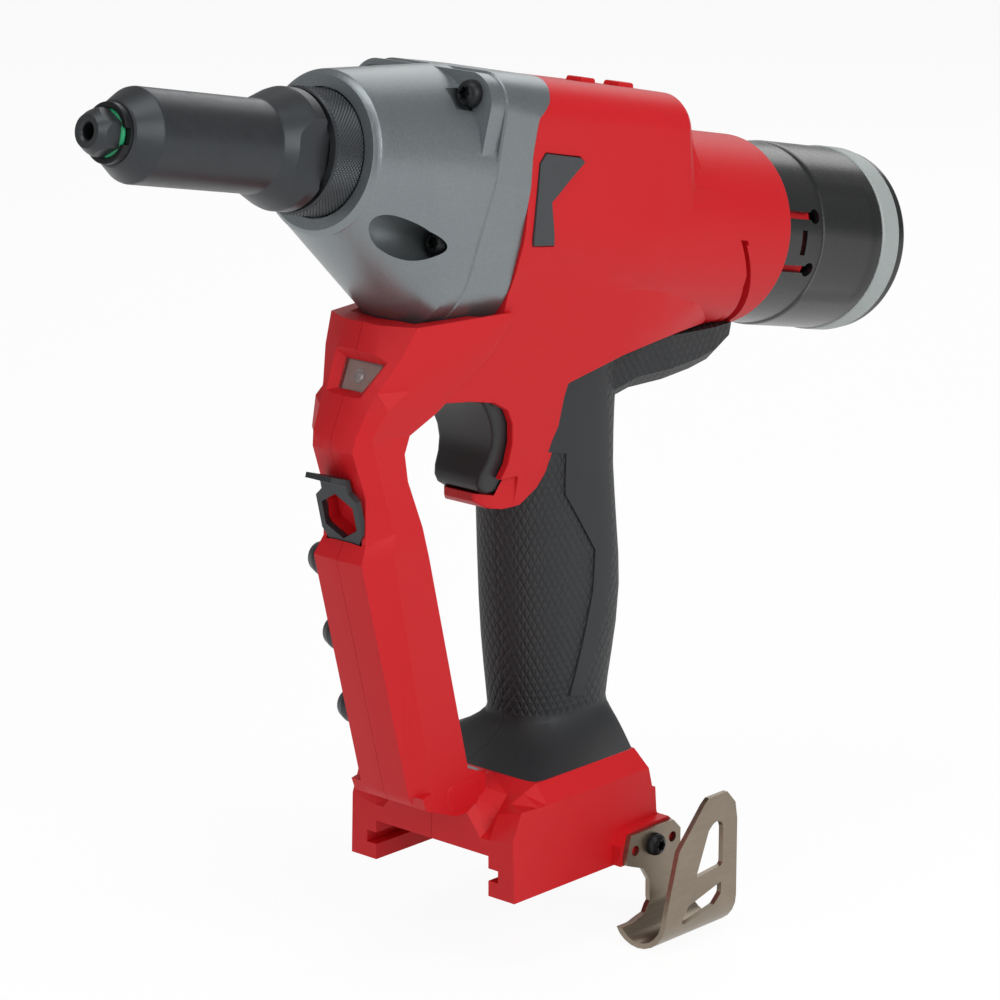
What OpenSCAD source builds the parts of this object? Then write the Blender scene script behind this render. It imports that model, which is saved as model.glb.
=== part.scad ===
// Battery rivet tool: a hand-held puller for blind rivets.
// +X points forward, +Y to the tool's left and +Z up; the origin is the middle of the battery
// foot's underside. The barrel is tilted nose-up, so most pieces are drawn along the nose axis.

/* [Foot] */
// Width across the battery foot
foot_w = 72; // [68:1:80]
// Length of the battery foot along its underside
foot_len = 70; // [66:1:80]
// Height of the foot's top
foot_h = 34; // [32:1:40]
// Height of the foot's upright sides
foot_side_h = 27; // [25:1:30]
// How far the foot's top is drawn in from each side
foot_draw_in = 6; // [3:1:8]
// How far the foot's back leans in from bottom to top
foot_back_lean = 9; // [4:1:12]
// Width of the battery channel between the legs
channel_w = 50; // [46:1:52]
// Height of the battery channel
channel_h = 13.5; // [12:0.5:15]
// Depth of the rail groove in each leg
groove_d = 3; // [2:0.5:4]
// Height of the rail grooves
groove_h = 4; // [3:0.5:4.5]
// Height of the rail grooves' lower edge
groove_z = 5; // [4.5:0.5:6]
// Thickness of the plastic walls
wall = 3; // [2.5:0.5:3.5]

/* [Barrel] */
// Nose-up tilt of the barrel, in degrees
tilt = 11.3; // [8:0.1:14]
// Height of the nose axis over the foot's front edge
axis_h = 225.6; // [222:0.2:232]
// Height of the body's shoulders and top over the nose axis
body_r = 29.4; // [28.5:0.2:32]
// Corner radius of the body's two shoulders
shoulder_r = 18.4; // [16:0.2:20]
// Radius of the round under the body, round the motor
under_r = 24.4; // [23.6:0.2:26]
// Distance of the motor axis below the nose axis
motor_drop = 27; // [26.9:0.1:28]
// Where the gear housing meets the body, along the nose axis
split_s = -16; // [-18:0.5:-16]
// Where the body's top ends, along the nose axis
hump_s = -84; // [-86:1:-80]
// Distance of the collector axis below the nose axis
collector_drop = 12.9; // [11:0.1:14]
// Radius of the round neck at the body's back
neck_r = 31; // [30.6:0.2:33]
// Where the neck ends, along the nose axis
neck_s = -140; // [-144:1:-136]

/* [Gear housing] */
// Front face of the gear housing, along the nose axis
housing_front_s = 48.3; // [47:0.1:50]
// Radius of the housing's front ring
housing_front_r = 24.4; // [23:0.2:26]
// Radius of the housing's lobe at its back
lobe_r = 23.3; // [22:0.1:24]
// Radius of the housing screws' shanks
housing_screw_r = 2; // [1.5:0.1:2.5]
// Radius of the housing screws' heads
housing_screw_head_r = 4.2; // [3.5:0.1:4.6]

/* [Nose] */
// Front end of the nose casing, along the nose axis
casing_front_s = 128.5; // [124:0.5:134]
// Radius of the nose casing
casing_r = 13.6; // [13:0.1:14.5]
// Radius of the flared root of the nose casing
casing_flare_r = 17.9; // [17:0.1:18.4]
// Length of the nose casing's front cone
casing_cone = 7; // [5:0.5:9]
// Radius of the nose casing's bore
casing_bore_r = 11.2; // [11.1:0.1:11.6]
// Distance across the two wrench flats of the casing
casing_flats = 31; // [29:0.5:33]
// Radius of the knurled collar
collar_r = 18.6; // [18.2:0.1:18.8]
// Length of the knurled collar
collar_len = 15; // [14:0.5:15.5]
// Radius of the nosepiece's bore
mandrel_r = 2.45; // [2.1:0.05:2.5]
// Distance across the nosepiece's hexagon
nosepiece_af = 12; // [11:0.5:12.5]
// Length of the nosepiece ahead of the casing
nosepiece_len = 9.5; // [8:0.5:11]
// Radius of the nosepiece's threaded shank
nosepiece_shank_r = 5; // [4.5:0.1:5.2]

/* [Pulling head] */
// Length of the pull
stroke = 24; // [20:1:24]
// Lead of the screw's thread
screw_lead = 6; // [4:1:8]
// Radius of the screw
screw_r = 6.5; // [6.3:0.1:6.6]
// Radius of the hole through the screw
screw_bore_r = 3.7; // [3.6:0.1:4]
// Radius of the jaw case
jaw_case_r = 10.8; // [10.2:0.1:10.9]
// Length of the jaw case
jaw_case_len = 50; // [46:1:51]
// Wall of the mandrel tube
mandrel_tube_wall = 0.5; // [0.4:0.1:0.6]
// Outer radius of the mandrel tube
mandrel_tube_r = 3.3; // [3.2:0.1:3.5]

/* [Gears] */
// Module of the nut gear and its pinion
drive_module = 1.125; // [1.125:0.005:1.14]
// Teeth of the nut gear
nut_teeth = 36; // [36:1:36]
// Teeth of the output pinion
pinion_teeth = 12; // [12:1:12]
// Module of the planet stage
planet_module = 0.65; // [0.6:0.01:0.66]
// Teeth of the sun
sun_teeth = 12; // [12:1:12]
// Teeth of each planet
planet_teeth = 15; // [15:1:15]
// Face width of the nut gear and the pinion
drive_face = 10; // [8:0.5:10]
// Share of the half pitch that a tooth fills
tooth_fill = 0.7; // [0.6:0.02:0.76]

/* [Motor] */
// Outer radius of the stator
stator_r = 19; // [18.5:0.1:19.2]
// Length of the stator
stator_len = 34; // [28:1:36]
// Radius of the rotor
rotor_r = 10.5; // [9.5:0.1:10.8]
// Radius of the rotor's shaft
shaft_r = 3; // [2.6:0.1:3.1]
// Radius of the cooling fan
fan_r = 17; // [15:0.5:18]

/* [Strut] */
// How far the strut's foot stands ahead of the battery foot
strut_reach = 21.6; // [18:0.5:26]
// Forward lean of the strut, in degrees
strut_lean = 13.4; // [11:0.2:15]
// Length of the lower strut, up to the wrench's shelf
strut_low_len = 81; // [78:1:84]
// Length of the strut from its foot to the bend
strut_bend_len = 116; // [113:1:118]
// Half the width of the lower strut
strut_half_w = 15.2; // [14:0.2:17]
// Depth of the strut from front to back
strut_d = 23; // [21:0.5:25]
// Edge bevel of the strut's front
strut_bevel = 5.2; // [4:0.2:6]
// How far the strut's front is set back behind the wrench
strut_set_back = 4; // [3.6:0.2:5]
// Backward lean of the strut over the bend, in degrees
strut_top_lean = 22; // [19:0.5:25]

/* [Handle] */
// Distance of the grip's middle behind the foot's front edge
grip_back = 53; // [51:0.5:55]
// Half the length of the grip's section from front to back
grip_half_len = 24.3; // [23:0.1:26]
// Half the width of the grip
grip_half_w = 17.4; // [16.5:0.1:19]
// Half the length of the grip's neck over the boot
grip_neck_half_len = 20; // [19:0.1:21.5]
// Length of the rubber boot on the foot
boot_len = 48; // [44:1:50]
// Half the width of the trigger surround
surround_half_w = 18.5; // [17.5:0.1:19.5]
// Height of the surround's underside over the trigger
surround_z = 155.5; // [155.2:0.1:157]
// Height of the lowest point of the chin under the trigger
chin_z = 116; // [113:0.5:117]

/* [Trigger] */
// Half the width of the trigger
trigger_half_w = 9.6; // [8:0.1:10]
// Trigger travel
trigger_travel = 7; // [5:0.5:7]
// Radius of the finger hollow in the trigger's front
trigger_hollow_r = 15; // [14:0.5:18]

/* [Wrench] */
// Distance across the wrench's hexagonal hole
wrench_af = 12.6; // [12:0.1:13]
// Thickness of the wrench
wrench_t = 2.2; // [1.8:0.1:2.4]
// Width of the wrench
wrench_w = 21; // [19:0.5:22]
// How far the wrench is lifted to clear its slot
wrench_lift = 8; // [7:0.5:8]

/* [Belt hook] */
// Thickness of the belt hook's strip
hook_t = 1.8; // [1.4:0.1:2.2]
// Length of the belt hook's flange
hook_flange_len = 26; // [24:0.5:28]
// Inner radius of the hook's bend
hook_bend_r = 9; // [7:0.5:10]
// Height of the hook's outer plate over the foot's underside
hook_plate_top = 24; // [18:1:28]
// Height of the hook's bend under the foot's underside
hook_drop = 22.5; // [20:0.5:25]
// Height of the belt hook screw
hook_screw_z = 5; // [4.5:0.1:6]
// Distance of the belt hook screw behind the foot's front edge
hook_screw_back = 59; // [56:0.5:60]
// Radius of the hook insert's threaded hole
insert_hole_r = 1.65; // [1.5:0.05:2]

/* [Collector] */
// Radius of the collector bottle
bottle_r = 29.7; // [29:0.1:30.6]
// Wall of the collector bottle
bottle_wall = 2.2; // [1.8:0.1:2.4]
// Length of the collector bottle
bottle_len = 49.5; // [46:0.5:54]
// Width of the pale band
band_w = 9; // [7:0.5:11]
// Thickness of the end cap
cap_t = 4.5; // [3.5:0.1:6]
// Turn that frees the collector's bayonet, in degrees
bayonet_turn = 30; // [20:1:40]

/* [Fits] */
// Gap between pieces that slide or turn
slide_gap = 0.35; // [0.3:0.05:0.5]
// Gap between pieces that are seated
seat_gap = 0.05; // [0.02:0.01:0.1]
// Radial gap of a shaft in its bore
run_gap = 0.05; // [0.02:0.01:0.08]

/* [Hidden] */
$fn = 48;

red = "#c8202a";
black = "#222326";
steel = "#3c3f42";
grey = "#7d8485";
bright = "#b8bbbd";

// How far cutting shapes run past what they cut
past = 40;
// Front plane of the foot
front = foot_len / 2;
// Hollow between the foot's roof and its top
foot_floor = channel_h + wall;
// Shoulder circle of the body
shoulder = body_r - shoulder_r;
// Stations along the nose axis
plate_s = split_s - 8;
collar_s = housing_front_s - 2.8;
casing_root_s = collar_s - 6.5;
flare_end_s = collar_s + collar_len;
flare_start_s = flare_end_s + 14;
nut_front_s = 22;
bearing_front_s = 32;
gear_s = split_s + 12;
gear_end_s = gear_s + drive_face;
ring_s = split_s + 0.1;
ring_end_s = ring_s + 8.4;
carrier_s = ring_end_s - 0.5;
carrier_end_s = carrier_s + 3;
pinion_bearing_s = gear_end_s + 3;
stator_s = plate_s - 6 - stator_len;
fan_s = stator_s - 12;
end_plate_s = fan_s - 9;
bulkhead_s = end_plate_s - 19;
bay_s = bulkhead_s - 8;
jaw_case_s = casing_front_s - 11.5 - jaw_case_len;
screw_tail_s = end_plate_s + 23;
screw_head_s = jaw_case_s + 8;
bottle_s = neck_s - 0.4 - bottle_len;
spigot_r = bottle_r - bottle_wall - slide_gap;
spigot_s = neck_s - 14;
// Pitch radii
nut_pitch = drive_module * nut_teeth / 2;
pinion_pitch = drive_module * pinion_teeth / 2;
sun_pitch = planet_module * sun_teeth / 2;
planet_pitch = planet_module * planet_teeth / 2;
ring_teeth = sun_teeth + 2 * planet_teeth;
ring_pitch = planet_module * ring_teeth / 2;
planet_orbit = sun_pitch + planet_pitch;
ring_r = ring_pitch + 2.75;
planet_pin_r = 1.8;
// Bearing sizes: inner and outer radii
nut_body_r = 13;
nut_nose_r = 10;
nut_tail_r = 8.5;
front_bearing_r = 18;
rear_bearing_r = 13;
small_bearing_r = 8;
pinion_bearing_r = 9;
pinion_shaft_r = 3.5;
// Housing screws: sideways place and height from the nose axis
top_screw = [body_r - 8.4, body_r - 8.9];
low_screw = [20.5, 5 - motor_drop];
top_screw_s = split_s + 25;
low_screw_s = split_s + 16.5;
housing_screw_head_t = 3.5;
housing_screw_tip_s = split_s - 7;
// Strut sections
strut_slim = 2.4;
// Depth of the wrench's foot in its slot
wrench_foot = wrench_lift - 1.5;
top_bar_len = 36;
top_bar_d = strut_d + 8;
strut_top_set_back = strut_set_back + 2;
// Foot of the strut's front face
strut_base_z = foot_h;
// Boss that the belt hook sits on
boss_t = 2.5;
insert_r = 3;
insert_len = 9;

// Moves onto the nose axis, or onto an axis parallel to it
module on_axis(drop = 0) {
    translate([front, 0, axis_h]) rotate([0, -tilt, 0]) translate([0, 0, -drop]) children();
}
// Round bar along local X between two stations
module bar(from, to, r) {
    translate([from, 0, 0]) rotate([0, 90, 0]) cylinder(h = to - from, r = r);
}
module pipe(from, to, outer, inner) {
    difference() {
        bar(from, to, outer);
        bar(from - past, to + past, inner);
    }
}
// Revolves an outline of [radius, station] points round local X
module turned(points) {
    rotate([0, 90, 0]) rotate_extrude() polygon(points);
}
// Extrudes a side view of [x, z] points to both sides of the mid-plane
module side_cut(points, half_w) {
    translate([0, half_w, 0]) rotate([90, 0, 0]) linear_extrude(2 * half_w) polygon(points);
}
// Extrudes a front view of [y, z] points along local X
module front_cut(from, to, points) {
    translate([from, 0, 0]) rotate([90, 0, 90]) linear_extrude(to - from) polygon(points);
}
// Keeps one side of the mid-plane: 1 is the tool's left
module half(side) {
    intersection() {
        children();
        translate([-400, side > 0 ? 0 : -200, -100]) cube([800, 200, 500]);
    }
}
// Section with two straight sides and round ends, for the grip
module slot_slab(x, half_len, half_w, z, t) {
    translate([front - x, 0, z]) linear_extrude(t) union() {
        square([2 * (half_len - half_w), 2 * half_w], center = true);
        for (e = [-1, 1]) translate([e * (half_len - half_w), 0]) circle(half_w, $fn = 28);
    }
}
// Trapezoid gear teeth round a disc
function tooth_half(m, r, pitch) = tooth_fill * PI * m / 4 - (r - pitch) * tan(20);
function tooth_points(n, m, top, root) = [for (i = [0 : n - 1]) for (k = [[root, -1], [top, -1], [top, 1], [root, 1]])
    let (a = 360 * i / n + k[1] * tooth_half(m, k[0], m * n / 2) / k[0] * 180 / PI)
    [k[0] * cos(a), k[0] * sin(a)]];
module gear(from, to, n, m, phase) {
    pitch = m * n / 2;
    translate([from, 0, 0]) rotate([90, 0, 90]) rotate(phase) linear_extrude(to - from)
        polygon(tooth_points(n, m, pitch + 0.85 * m, pitch - 1.2 * m));
}
// Cutter for the ring gear's inner teeth: its own teeth are the ring's gaps
module ring_cutter(from, to, n, m, phase) {
    pitch = m * n / 2;
    gap = 2 - tooth_fill;
    points = [for (i = [0 : n - 1]) for (k = [[pitch - 0.85 * m, -1], [pitch + 1.2 * m, -1], [pitch + 1.2 * m, 1], [pitch - 0.85 * m, 1]])
        let (a = 360 * i / n + k[1] * (gap * PI * m / 4 - (k[0] - pitch) * tan(20)) / k[0] * 180 / PI)
        [k[0] * cos(a), k[0] * sin(a)]];
    translate([from, 0, 0]) rotate([90, 0, 90]) rotate(phase) linear_extrude(to - from) polygon(points);
}
// Helical spring along local X
module spring(from, to, mean_r, wire_r, turns) {
    sides = 6;
    steps = 10 * turns;
    ring = [for (i = [0 : steps]) for (k = [0 : sides - 1])
        let (a = 36 * i, rr = mean_r + wire_r * cos(60 * k))
        [from + wire_r + (to - from - 2 * wire_r) * i / steps + wire_r * sin(60 * k), rr * cos(a), rr * sin(a)]];
    sides_f = [for (i = [0 : steps - 1]) for (k = [0 : sides - 1]) for (f = [
        [i * sides + k, i * sides + (k + 1) % sides, (i + 1) * sides + (k + 1) % sides],
        [i * sides + k, (i + 1) * sides + (k + 1) % sides, (i + 1) * sides + k]]) f];
    ends_f = [for (k = [1 : sides - 2]) for (f = [[0, k + 1, k],
        [steps * sides, steps * sides + k, steps * sides + k + 1]]) f];
    polyhedron(ring, concat(sides_f, ends_f));
}
// Ball bearing: two races with balls between
module bearing(from, to, outer, inner) {
    mid = (outer + inner) / 2;
    ball = (outer - inner) * 0.3;
    n = floor(2 * PI * mid / (2.6 * ball));
    pipe(from, to, outer, mid + ball * 0.6);
    pipe(from, to, mid - ball * 0.6, inner);
    pipe((from + to) / 2 - 0.5, (from + to) / 2 + 0.5, mid + ball * 0.6, mid - ball * 0.6);
    for (i = [0 : n - 1]) translate([(from + to) / 2, 0, 0]) rotate([360 * i / n, 0, 0])
        translate([0, 0, mid]) sphere(ball, $fn = 20);
}

// Outer forms shared by the shells, grips and pads

// Rounded top body with the round under it, from the gear housing to the hump's end
module body_form() {
    on_axis() hull() {
        for (e = [-1, 1]) translate([0, e * shoulder, shoulder]) {
            bar(hump_s, split_s, shoulder_r, $fn = 32);
            bar(hump_s - 7, hump_s, shoulder_r - 3.5, $fn = 32);
        }
        translate([0, 0, 1 - motor_drop]) bar(end_plate_s - 3, split_s, under_r, $fn = 32);
    }
}
module neck_form() {
    on_axis(collector_drop) bar(neck_s, hump_s + 14, neck_r);
}
// Cast housing: a ring at the front that swells to the body's section at the back
module housing_form() {
    on_axis() hull() {
        bar(housing_front_s - 2.3, housing_front_s, housing_front_r, $fn = 40);
        for (e = [-1, 1]) translate([0, e * shoulder, shoulder]) bar(split_s, split_s + 30, shoulder_r - 1, $fn = 32);
        for (e = [-1, 1]) translate([0, e * shoulder, shoulder]) bar(split_s, split_s + 6, shoulder_r, $fn = 32);
        translate([0, 0, 0.5 - motor_drop]) bar(split_s, split_s + 24, lobe_r, $fn = 32);
        translate([0, 0, 2 - motor_drop]) bar(split_s, split_s + 33, lobe_r - 6, $fn = 32);
    }
}
// Side view of the red block over the trigger, from the strut's top to the handle
surround = [[front + 31, surround_z + 27], [front + 12, surround_z], [front - 20, surround_z], [front - 24, surround_z - 5],
    [front - 37.5, surround_z - 5], [front - 39, surround_z - 2.5], [front - 72, surround_z + 6],
    [front - 72, surround_z + 40], [front, surround_z + 40]];
// Side view of the narrower red block behind and under the trigger
chin = [[front - 11.5, chin_z + 5.2], [front - 12.5, chin_z + 3], [front - 16, chin_z + 1], [front - 26.7, chin_z + 0.5],
    [front - 34.4, chin_z + 5], [front - 37.5, chin_z + 12], [front - 39, surround_z - 4], [front - 39, surround_z + 2],
    [front - 19, surround_z + 2], [front - 24, surround_z - 6], [front - 24, chin_z + 6]];
module surround_form(grow) {
    side_cut(surround, surround_half_w + grow);
    side_cut(chin, trigger_half_w + wall + 0.4 + grow);
}
// Grip with its boot, as one closed form
module grip_form() {
    hull() {
        translate([front - grip_back - 9.5, -foot_w / 2 + foot_draw_in, foot_h]) cube([boot_len, foot_w - 2 * foot_draw_in, 1]);
        slot_slab(grip_back, grip_neck_half_len + 2.5, grip_half_w - 0.6, foot_h + 7, 1);
    }
    hull() {
        slot_slab(grip_back, grip_neck_half_len + 2.5, grip_half_w - 0.6, foot_h + 7, 1);
        slot_slab(grip_back, grip_neck_half_len, grip_half_w - 2.4, foot_h + 13, 1);
    }
    hull() {
        slot_slab(grip_back, grip_neck_half_len, grip_half_w - 2.4, foot_h + 13, 1);
        slot_slab(grip_back + 1, grip_half_len, grip_half_w, foot_h + 48, 1);
    }
    hull() {
        slot_slab(grip_back + 1, grip_half_len, grip_half_w, foot_h + 48, 1);
        slot_slab(grip_back - 1.5, grip_half_len - 0.5, grip_half_w - 0.4, chin_z + 6, 1);
        slot_slab(grip_back - 3, grip_half_len + 2, grip_half_w + 1, surround_z + 4, 1);
    }
}
// Rubber tail under the body's back
module tail_form() {
    side_cut([[front - 60, surround_z - 14], [front - 77, surround_z - 9], [front - 90, surround_z - 6],
        [front - 104, surround_z - 5], [front - 116, surround_z + 1], [front - 116, surround_z + 20],
        [front - 60, surround_z + 20]], grip_half_w - 3);
}
// Red core inside the rubber
module handle_core() {
    slot_slab(grip_back, 17.5, 12, foot_h - 4, chin_z + 2 - foot_h + 4);
    translate([front - 66, -12, chin_z - 4]) cube([36, 24, surround_z + 12 - chin_z + 4]);
}
// Frame of the lower strut: its front face is local X = 0, and local Z runs up the strut
module on_strut() {
    translate([front + strut_reach, 0, strut_base_z]) rotate([0, strut_lean, 0]) children();
}
module strut_bar(from, to, set_back, half_w, depth) {
    b = strut_bevel;
    translate([0, 0, from]) linear_extrude(to - from) polygon([[-set_back, -half_w + b], [-set_back, half_w - b],
        [-set_back - b, half_w], [-depth + 2, half_w], [-depth, half_w - 2],
        [-depth, -half_w + 2], [-depth + 2, -half_w], [-set_back - b, -half_w]]);
}
// Frame of the strut over its bend
module on_strut_top() {
    on_strut() translate([-strut_top_set_back, 0, strut_bend_len]) rotate([0, -strut_lean - strut_top_lean, 0]) children();
}
module strut_top() {
    low = strut_half_w - strut_slim;
    high = surround_half_w + 0.5;
    on_strut_top() hull() {
        front_cut(-strut_d, -strut_bevel, [[-low, -2], [low, -2], [high, top_bar_len], [-high, top_bar_len]]);
        front_cut(-strut_d, 0, [[-low + strut_bevel, -2], [low - strut_bevel, -2],
            [high - strut_bevel, top_bar_len], [-high + strut_bevel, top_bar_len]]);
        front_cut(-top_bar_d, -strut_d, [[-low, 14], [low, 14], [high, top_bar_len], [-high, top_bar_len]]);
    }
}
module strut_form() {
    on_strut() {
        difference() {
            strut_bar(-4, strut_low_len, 0, strut_half_w, strut_d);
            // sloping shelf in front of the wrench
            translate([-strut_set_back, -past, strut_low_len]) rotate([0, 28, 0]) translate([-0.1, 0, 0]) cube([past, 2 * past, past]);
        }
        strut_bar(strut_low_len - 10, strut_bend_len - 4, strut_set_back, strut_half_w - strut_slim, strut_d);
    }
    strut_top();
    // root that runs back into the foot
    side_cut([[front + strut_reach - 1, foot_h + 1], [front + strut_reach - 2.3, foot_h - 3.4], [front + 5.4, foot_h - 9],
        [front - 7, foot_h - 9], [front - 7, foot_h], [front - 3, foot_h + 2]], strut_half_w);
}
// Battery foot: its section runs the whole length, and the channel is closed at the back
module foot_form() {
    w = foot_w / 2;
    c = channel_w / 2;
    g = c + groove_d;
    difference() {
        union() {
            front_cut(-front, front, [[-w, 0], [-c, 0], [-c, groove_z], [-g, groove_z], [-g, groove_z + groove_h],
                [-c, groove_z + groove_h], [-c, channel_h], [c, channel_h], [c, groove_z + groove_h],
                [g, groove_z + groove_h], [g, groove_z], [c, groove_z], [c, 0], [w, 0], [w, foot_side_h],
                [w - foot_draw_in, foot_h], [foot_draw_in - w, foot_h], [-w, foot_side_h]]);
            // wall that stops the battery
            translate([-front, -w + 1, 0]) cube([5, foot_w - 2, foot_h - 1]);
            // crossbar that carries the strut
            translate([front - 1, -strut_half_w - 3, channel_h + 3.5]) cube([6.4, 2 * strut_half_w + 6, 9.5]);
            hook_boss(1);
            hook_boss(-1);
        }
        // leaning back
        translate([-front, 0, 0]) rotate([0, atan(foot_back_lean / foot_h), 0])
            translate([-past, -past, -past]) cube([past, 2 * past, 3 * past]);
    }
}
// Flat boss on a leg, under the belt hook's flange
module hook_boss(side) {
    x = front - hook_screw_back;
    half_len = hook_flange_len / 2 + 1;
    translate([0, side > 0 ? foot_w / 2 - 1 : -foot_w / 2 - boss_t, 0]) rotate([90, 0, 0]) mirror([0, 0, 1]) linear_extrude(boss_t + 1)
        polygon([[x - half_len, hook_screw_z - 4.5], [x + half_len, hook_screw_z - 4.5], [x + half_len, hook_screw_z + 2],
            [x + half_len - 5, hook_screw_z + 6.5], [x - half_len + 5, hook_screw_z + 6.5], [x - half_len, hook_screw_z + 2]]);
}
// Spigot that carries the collector, with two bayonet lugs
module spigot_form() {
    on_axis(collector_drop) bar(spigot_s, neck_s + 1, spigot_r);
}
// Side pad's outline in the body's side, as [station, height] points
pad_outline = [[split_s - 2, 7], [split_s - 18, 7], [split_s - 20, 5], [split_s - 8, -6], [split_s - 12, -19], [split_s - 3, -19]];
module pad_prism(side) {
    pad_y = body_r - 3;
    on_axis() translate([0, side > 0 ? pad_y + past : -pad_y, 0]) rotate([90, 0, 0]) linear_extrude(past) polygon(pad_outline);
}
// Spaces inside the shells
module shell_spaces() {
    on_axis() {
        // seat of the bearing plate, the drawbar's way and the mandrel tube's hole
        bar(plate_s - 0.1, split_s + 1, body_r - 4.3);
        bar(bulkhead_s + 4, split_s, nut_body_r);
        bar(neck_s - past, bulkhead_s + 5, mandrel_tube_r + seat_gap);
        for (e = [-1, 1]) {
            translate([0, e * top_screw[0], top_screw[1]]) bar(housing_screw_tip_s - 0.5, split_s + past, housing_screw_r + seat_gap);
            translate([0, e * low_screw[0], low_screw[1]]) bar(housing_screw_tip_s - 0.5, split_s + past, housing_screw_r + seat_gap);
        }
    }
    on_axis(motor_drop) {
        bar(plate_s - 0.1, split_s + 1, 18);
        bar(end_plate_s - 0.1, plate_s + 1, stator_r + seat_gap);
    }
    on_axis(collector_drop) bar(neck_s - past, bay_s, spigot_r - wall);
    // trigger's pocket, the switch's seat and the wiring's way to the motor
    trigger_pocket();
    translate([front - switch_back - seat_gap, -switch_half_w - seat_gap, chin_z + 6 - seat_gap])
        cube([switch_len + 2 * seat_gap, 2 * (switch_half_w + seat_gap), switch_h + 2 * seat_gap]);
    translate([front - 52, -4, chin_z + 30]) cube([10, 8, 26]);
    // grip's hollow and the foot's hollow
    difference() {
        slot_slab(grip_back, 14.5, 9, foot_h - wall - 1, chin_z + 7 - foot_h + wall);
        translate([front - grip_back, past, grip_screw_z]) rotate([90, 0, 0]) cylinder(h = 2 * past, r = shell_screw_r + wall);
    }
    translate([-front + foot_back_lean + wall, -channel_w / 2 - 1, foot_floor]) cube([foot_len - foot_back_lean - 2 * wall - 3, channel_w + 2, foot_h - wall - foot_floor]);
    // hollow of the lower strut's left half; the right half carries the spare nosepieces
    half(1) on_strut() strut_bar(12, strut_low_len - 14, 4, strut_half_w - wall, strut_d - wall);
    fittings_spaces();
}
// Trigger switch: back face behind the foot's front edge, length, height and half width
switch_back = 58;
switch_len = 21.5;
switch_h = 30;
switch_half_w = 8;
trigger_outline = [[front - 5.5, surround_z - 1], [front - 24, surround_z - 1], [front - 28, surround_z - 4], [front - 28, chin_z + 9],
    [front - 24, chin_z + 6.2], [front - 18, chin_z + 5.8], [front - 10, chin_z + 7.2], [front - 8, chin_z + 10], [front - 5.5, surround_z - 3]];
module trigger_pocket() {
    side_cut([[front + 6, surround_z - slide_gap], [front - 36.5, surround_z - slide_gap], [front - 36.5, chin_z + 5.3],
        [front - 18, chin_z + 5.3], [front + 6, chin_z + 9]], trigger_half_w + slide_gap);
}
// Seats of the small fittings in the shells
module fittings_spaces() {
    led_seat();
    wrench_slot();
    for (p = spare_places) on_strut() translate([p[0], -past, p[1]]) rotate([-90, 0, 0]) cylinder(h = past - strut_half_w + 10, r = spare_r + seat_gap);
    for (p = shell_screw_places) translate([p[0], 0, p[1]]) rotate([90, 0, 0]) {
        translate([0, 0, -8.2]) cylinder(h = past, r = shell_screw_r + seat_gap);
        translate([0, 0, p[2] - 4]) cylinder(h = past, r = shell_screw_head_r + 0.2);
    }
    for (e = [-1, 1]) translate([front - hook_screw_back, e * (foot_w / 2 + boss_t), hook_screw_z]) rotate([e * 90, 0, 0])
        translate([0, 0, -1]) cylinder(h = insert_len + 1, r = insert_r + seat_gap);
    translate([terminal_x - 4 - seat_gap, -15, channel_h - 1]) cube([16 + 2 * seat_gap, 30, wall + 2]);
    translate([front - 12.5, -8 - seat_gap, foot_h - 1.5]) cube([7, 16 + 2 * seat_gap, 3]);
}
spare_r = 4.6;
spare_places = [[-10, 72], [-10, 46.5], [-10, 21]];
shell_screw_r = 1.6;
shell_screw_head_r = 3.2;
// Height of the screw through the grip's neck
grip_screw_z = foot_h + 12;
// Shell screws: x, z and the depth of the right shell's side there
shell_screw_places = [[front + strut_reach - 8.5, foot_h + 7.2, strut_half_w - 3], [front + strut_reach + 8.7, foot_h + 88.4, strut_half_w - strut_slim - 1],
    [front + 26, surround_z + 6, 14], [front - 66, surround_z - 4, 13], [front - grip_back, grip_screw_z, 9.5],
    [front - 27, surround_z + 8, surround_half_w - 4], [front - 106, surround_z + 12, 22]];
terminal_x = -front + foot_back_lean + 10;

module shell_half(side) {
    color(red) half(side) difference() {
        union() {
            difference() {
                union() {
                    body_form();
                    surround_form(0);
                    strut_form();
                }
                housing_room();
                pad_prism(side);
            }
            neck_form();
            spigot_form();
            foot_form();
            handle_core();
        }
        shell_spaces();
    }
}
// Room for the gear housing ahead of the body's front face
module housing_room() {
    on_axis() translate([split_s, -past, -past + 8]) cube([past + 40, 2 * past, 2 * past]);
    on_axis() translate([0, 0, 0.5 - motor_drop]) bar(split_s, split_s + 24.4, lobe_r + seat_gap);
    housing_form();
}
module left_shell() { shell_half(1); }
module right_shell() { shell_half(-1); }

module grip_half(side) {
    color(black) half(side) difference() {
        union() {
            grip_form();
            tail_form();
        }
        handle_core();
        surround_form(past);
        body_form();
        neck_form();
        shell_spaces();
    }
}
module left_grip() { grip_half(1); }
module right_grip() { grip_half(-1); }

module side_pad(side) {
    color("#45484a") intersection() {
        body_form();
        pad_prism(side);
    }
}
module left_side_pad() { side_pad(1); }
module right_side_pad() { side_pad(-1); }

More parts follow.
